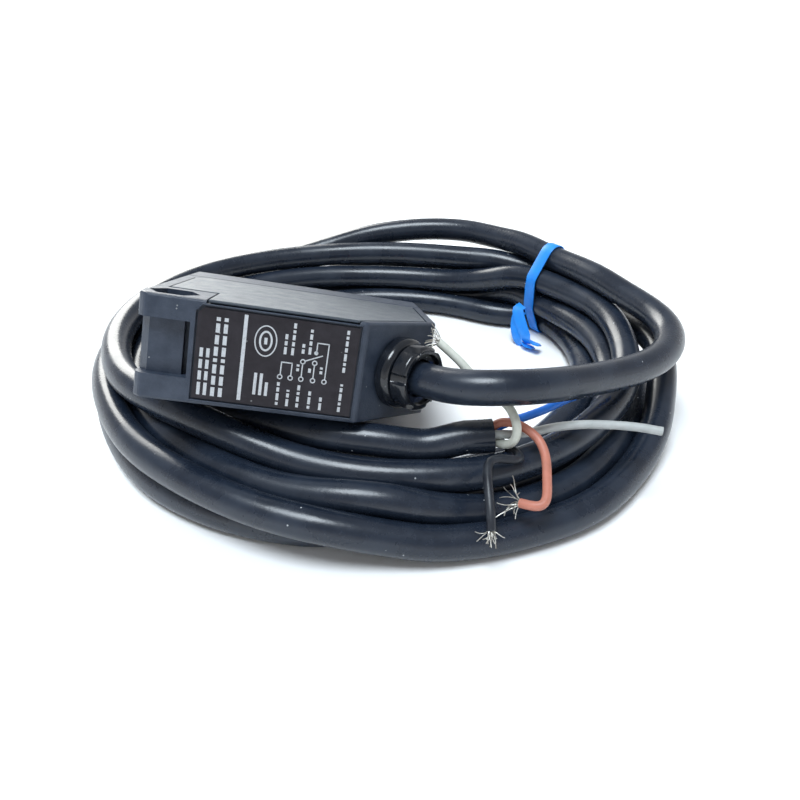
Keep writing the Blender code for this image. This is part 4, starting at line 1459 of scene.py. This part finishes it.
    def rings(self) -> None:
        """Set a ring on every terminal of the diagram."""
        spots = mesh_of([(x, self.face, z) for x, z in self.terminals], [], seated, False)
        recipe = Recipe("terminal_rings")
        radius = recipe.size("Ring Radius", self.terminal_radius * MM)
        width = recipe.size("Line Width", self.line * MM)
        circle = recipe.put("GeometryNodeCurvePrimitiveCircle", {"mode": "RADIUS"},
                            {"Resolution": 24, "Radius": radius}, "Curve")
        section = recipe.put("GeometryNodeCurvePrimitiveQuadrilateral", {},
                             {"Width": width, "Height": 0.05 * MM})
        band = recipe.put("GeometryNodeCurveToMesh", {}, {"Curve": circle,
                                                          "Profile Curve": section})
        face_on = Euler(SEAT_TURN).to_matrix() @ Matrix.Rotation(math.radians(90.0), 3, "X")
        placed = recipe.put("GeometryNodeInstanceOnPoints", {},
                            {"Points": recipe.inlet.outputs[0], "Instance": band,
                             "Rotation": tuple(face_on.to_euler())})
        mesh = recipe.bake(placed, spots, Finish.INK)
        settle_piece("terminal_rings", mesh, Finish.INK, smooth=None)


@dataclass
class Case:
    """What the visual model adds to the moulded case: the raised rim of the label recess."""

    rim: float = 0.11
    corner: float = 1.1
    low: tuple[float, float] = (9.15, 0.68)
    high: tuple[float, float] = (36.2, 16.68)
    stand: float = 0.02
    sides: int = 8

    def build(self) -> None:
        """Make the rim."""
        (low_x, low_z), (high_x, high_z) = self.low, self.high
        c = self.corner
        outline = [(low_x, low_z, 0.15), (high_x, low_z, 0.15), (high_x, high_z, 0.15),
                   (low_x + c, high_z, 0.1), (low_x, high_z - c, 0.1)]
        flat = rounded(outline, 3)
        count = len(flat)
        verts = []
        for index, (x, z) in enumerate(flat):
            ahead = Vector(flat[(index + 1) % count]) - Vector(flat[index - 1])
            side = Vector((ahead.y, -ahead.x)).normalized()
            for step in range(self.sides):
                angle = 2.0 * math.pi * step / self.sides
                grow = side * self.rim * math.cos(angle)
                verts.append((x + grow.x, self.stand + self.rim * math.sin(angle), z + grow.y))
        mesh = mesh_of(verts, grid_faces(count, self.sides, True), seated)
        settle_piece("label_rim", mesh, Finish.CASE, smooth=60.0)


@dataclass
class Controls:
    """The sensitivity adjuster and the operation selector, with their plain scales."""

    radius: float = 2.8
    height: float = 1.9
    shaft: float = 0.9
    slot: float = 0.4
    knurls: int = 28
    adjuster: float = 16.5
    selector: float = 25.5
    tick_start: float = 4.15
    tick_half: float = 0.07

    def build(self) -> None:
        """Make both dials and the tick marks round them."""
        self.dial("sensitivity_adjuster", self.adjuster)
        self.dial("operation_selector", self.selector)
        self.ticks("adjuster_scale", self.adjuster, 11, 240.0)
        self.ticks("selector_scale", self.selector, 3, 90.0)

    def dial(self, name: str, depth: float) -> None:
        """Make one dial: a knurled head with a driver slot, on its shaft."""
        axis = Vector((1.0, 0.0, 0.0))
        centre = Vector((0.3, depth, CASE_SIZE[2] / 2.0))
        big = self.radius
        profile = [(0.0005, 0.0), (big - 0.25, 0.0), (big - 0.08, 0.06), (big, 0.22),
                   (big, 0.6), (big, self.height - 0.1), (big - 0.1, self.height),
                   (self.shaft, self.height), (self.shaft, self.height + 2.6),
                   (0.0005, self.height + 2.6)]
        mesh = lathe(profile, centre, axis, 112, self.knurl)
        piece = settle_piece(name + "_knob", mesh, Finish.DIAL, name, 30.0)
        reach = big - 0.5
        half = CASE_SIZE[2] / 2.0
        corners = [(x, y, z) for x in (-1.0, 1.2) for y in (depth - self.slot, depth + self.slot)
                   for z in (half - reach, half + reach)]
        faces = [(0, 1, 3, 2), (4, 6, 7, 5), (0, 4, 5, 1), (2, 3, 7, 6), (0, 2, 6, 4), (1, 5, 7, 3)]
        cutter = bpy.data.objects.new("slot_cutter", mesh_of(corners, faces, seated))
        bpy.context.scene.collection.objects.link(cutter)
        modifier = piece.modifiers.new("Slot", "BOOLEAN")
        modifier.operation = "DIFFERENCE"
        modifier.solver = "EXACT"
        modifier.object = cutter
        bpy.context.view_layer.update()
        depsgraph = bpy.context.evaluated_depsgraph_get()
        cut = bpy.data.meshes.new_from_object(piece.evaluated_get(depsgraph))
        piece.modifiers.clear()
        piece.data = cut
        bpy.data.objects.remove(cutter, do_unlink=True)
        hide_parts(name)

    def knurl(self, angle: float, radius: float, height: float) -> float:
        """Return the dial's radius, waved round its rim."""
        if radius < self.radius - 0.05 or not 0.2 < height < self.height:
            return radius
        return radius - 0.07 * (0.5 + 0.5 * math.cos(self.knurls * angle))

    def ticks(self, name: str, depth: float, count: int, sweep: float) -> None:
        """Print tick marks round a dial.

        Args:
            name: The piece's name.
            depth: The dial's place along the end face.
            count: How many ticks.
            sweep: The angle from the first to the last, in degrees.
        """
        verts = []
        faces = []
        for index in range(count):
            angle = math.radians(-sweep / 2.0 + sweep * index / (count - 1) + 180.0)
            out = Vector((0.0, math.cos(angle), math.sin(angle)))
            side = Vector((0.0, -math.sin(angle), math.cos(angle))) * self.tick_half
            centre = Vector((0.0, depth, CASE_SIZE[2] / 2.0))
            start = len(verts)
            near = self.tick_start
            far = near + (0.55 if index in (0, count - 1) else 0.35)
            for level in (-0.012, 0.02):
                for reach, wide in ((near, -1), (far, -1), (far, 1), (near, 1)):
                    verts.append(centre + out * reach + side * wide + Vector((level, 0, 0)))
            faces += [tuple(start + i for i in face) for face in
                      ((0, 1, 2, 3), (7, 6, 5, 4), (0, 4, 5, 1), (1, 5, 6, 2), (2, 6, 7, 3),
                       (3, 7, 4, 0))]
        settle_piece(name, mesh_of(verts, faces, seated), Finish.INK, smooth=None)


NODE_FINISHES: dict[Finish, Sequence[str]] = {
    Finish.CASE: ("rear_case", "front_case"),
    Finish.COVER: ("side_cover",),
    Finish.LABEL: ("data_label",),
    Finish.SEAL: ("window_seal", "adjuster_seal", "selector_seal"),
    Finish.WINDOW: ("front_window",),
    Finish.LENS: ("emitter_lens", "receiver_lens", "emitter_led"),
    Finish.FILTER: ("emitter_filter", "receiver_filter"),
    Finish.INNER: ("lens_holder", "receiver_photodiode", "filter_capacitor",
                   "sensitivity_potentiometer", "selector_switch"),
    Finish.STEEL: ("shield_can", "cable_clamp", "threaded_insert"),
    Finish.BOARD: ("main_board", "power_board"),
    Finish.RELAY: ("output_relay",),
    Finish.WINDING: ("supply_choke",),
    Finish.VARISTOR: ("varistor",),
    Finish.GREEN: ("stability_indicator", "stability_lamp"),
    Finish.ORANGE: ("operation_indicator", "operation_lamp"),
}


def dress_frame() -> None:
    """Give every node that shows its finish."""
    for finish, names in NODE_FINISHES.items():
        for name in names:
            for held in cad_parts[name].material_slots:
                held.material = finish.material


def main() -> None:
    """Build the stage, the lead and the sensor, in order."""
    logging.basicConfig(level=logging.INFO, format="%(name)s: %(message)s")
    Stage().build()
    lead = Lead()
    lead.build()
    Cores(lead).build()
    TieBand(lead).build()
    Gland().build()
    Case().build()
    Label().build()
    Controls().build()
    dress_frame()


if __name__ == "__main__":
    main()
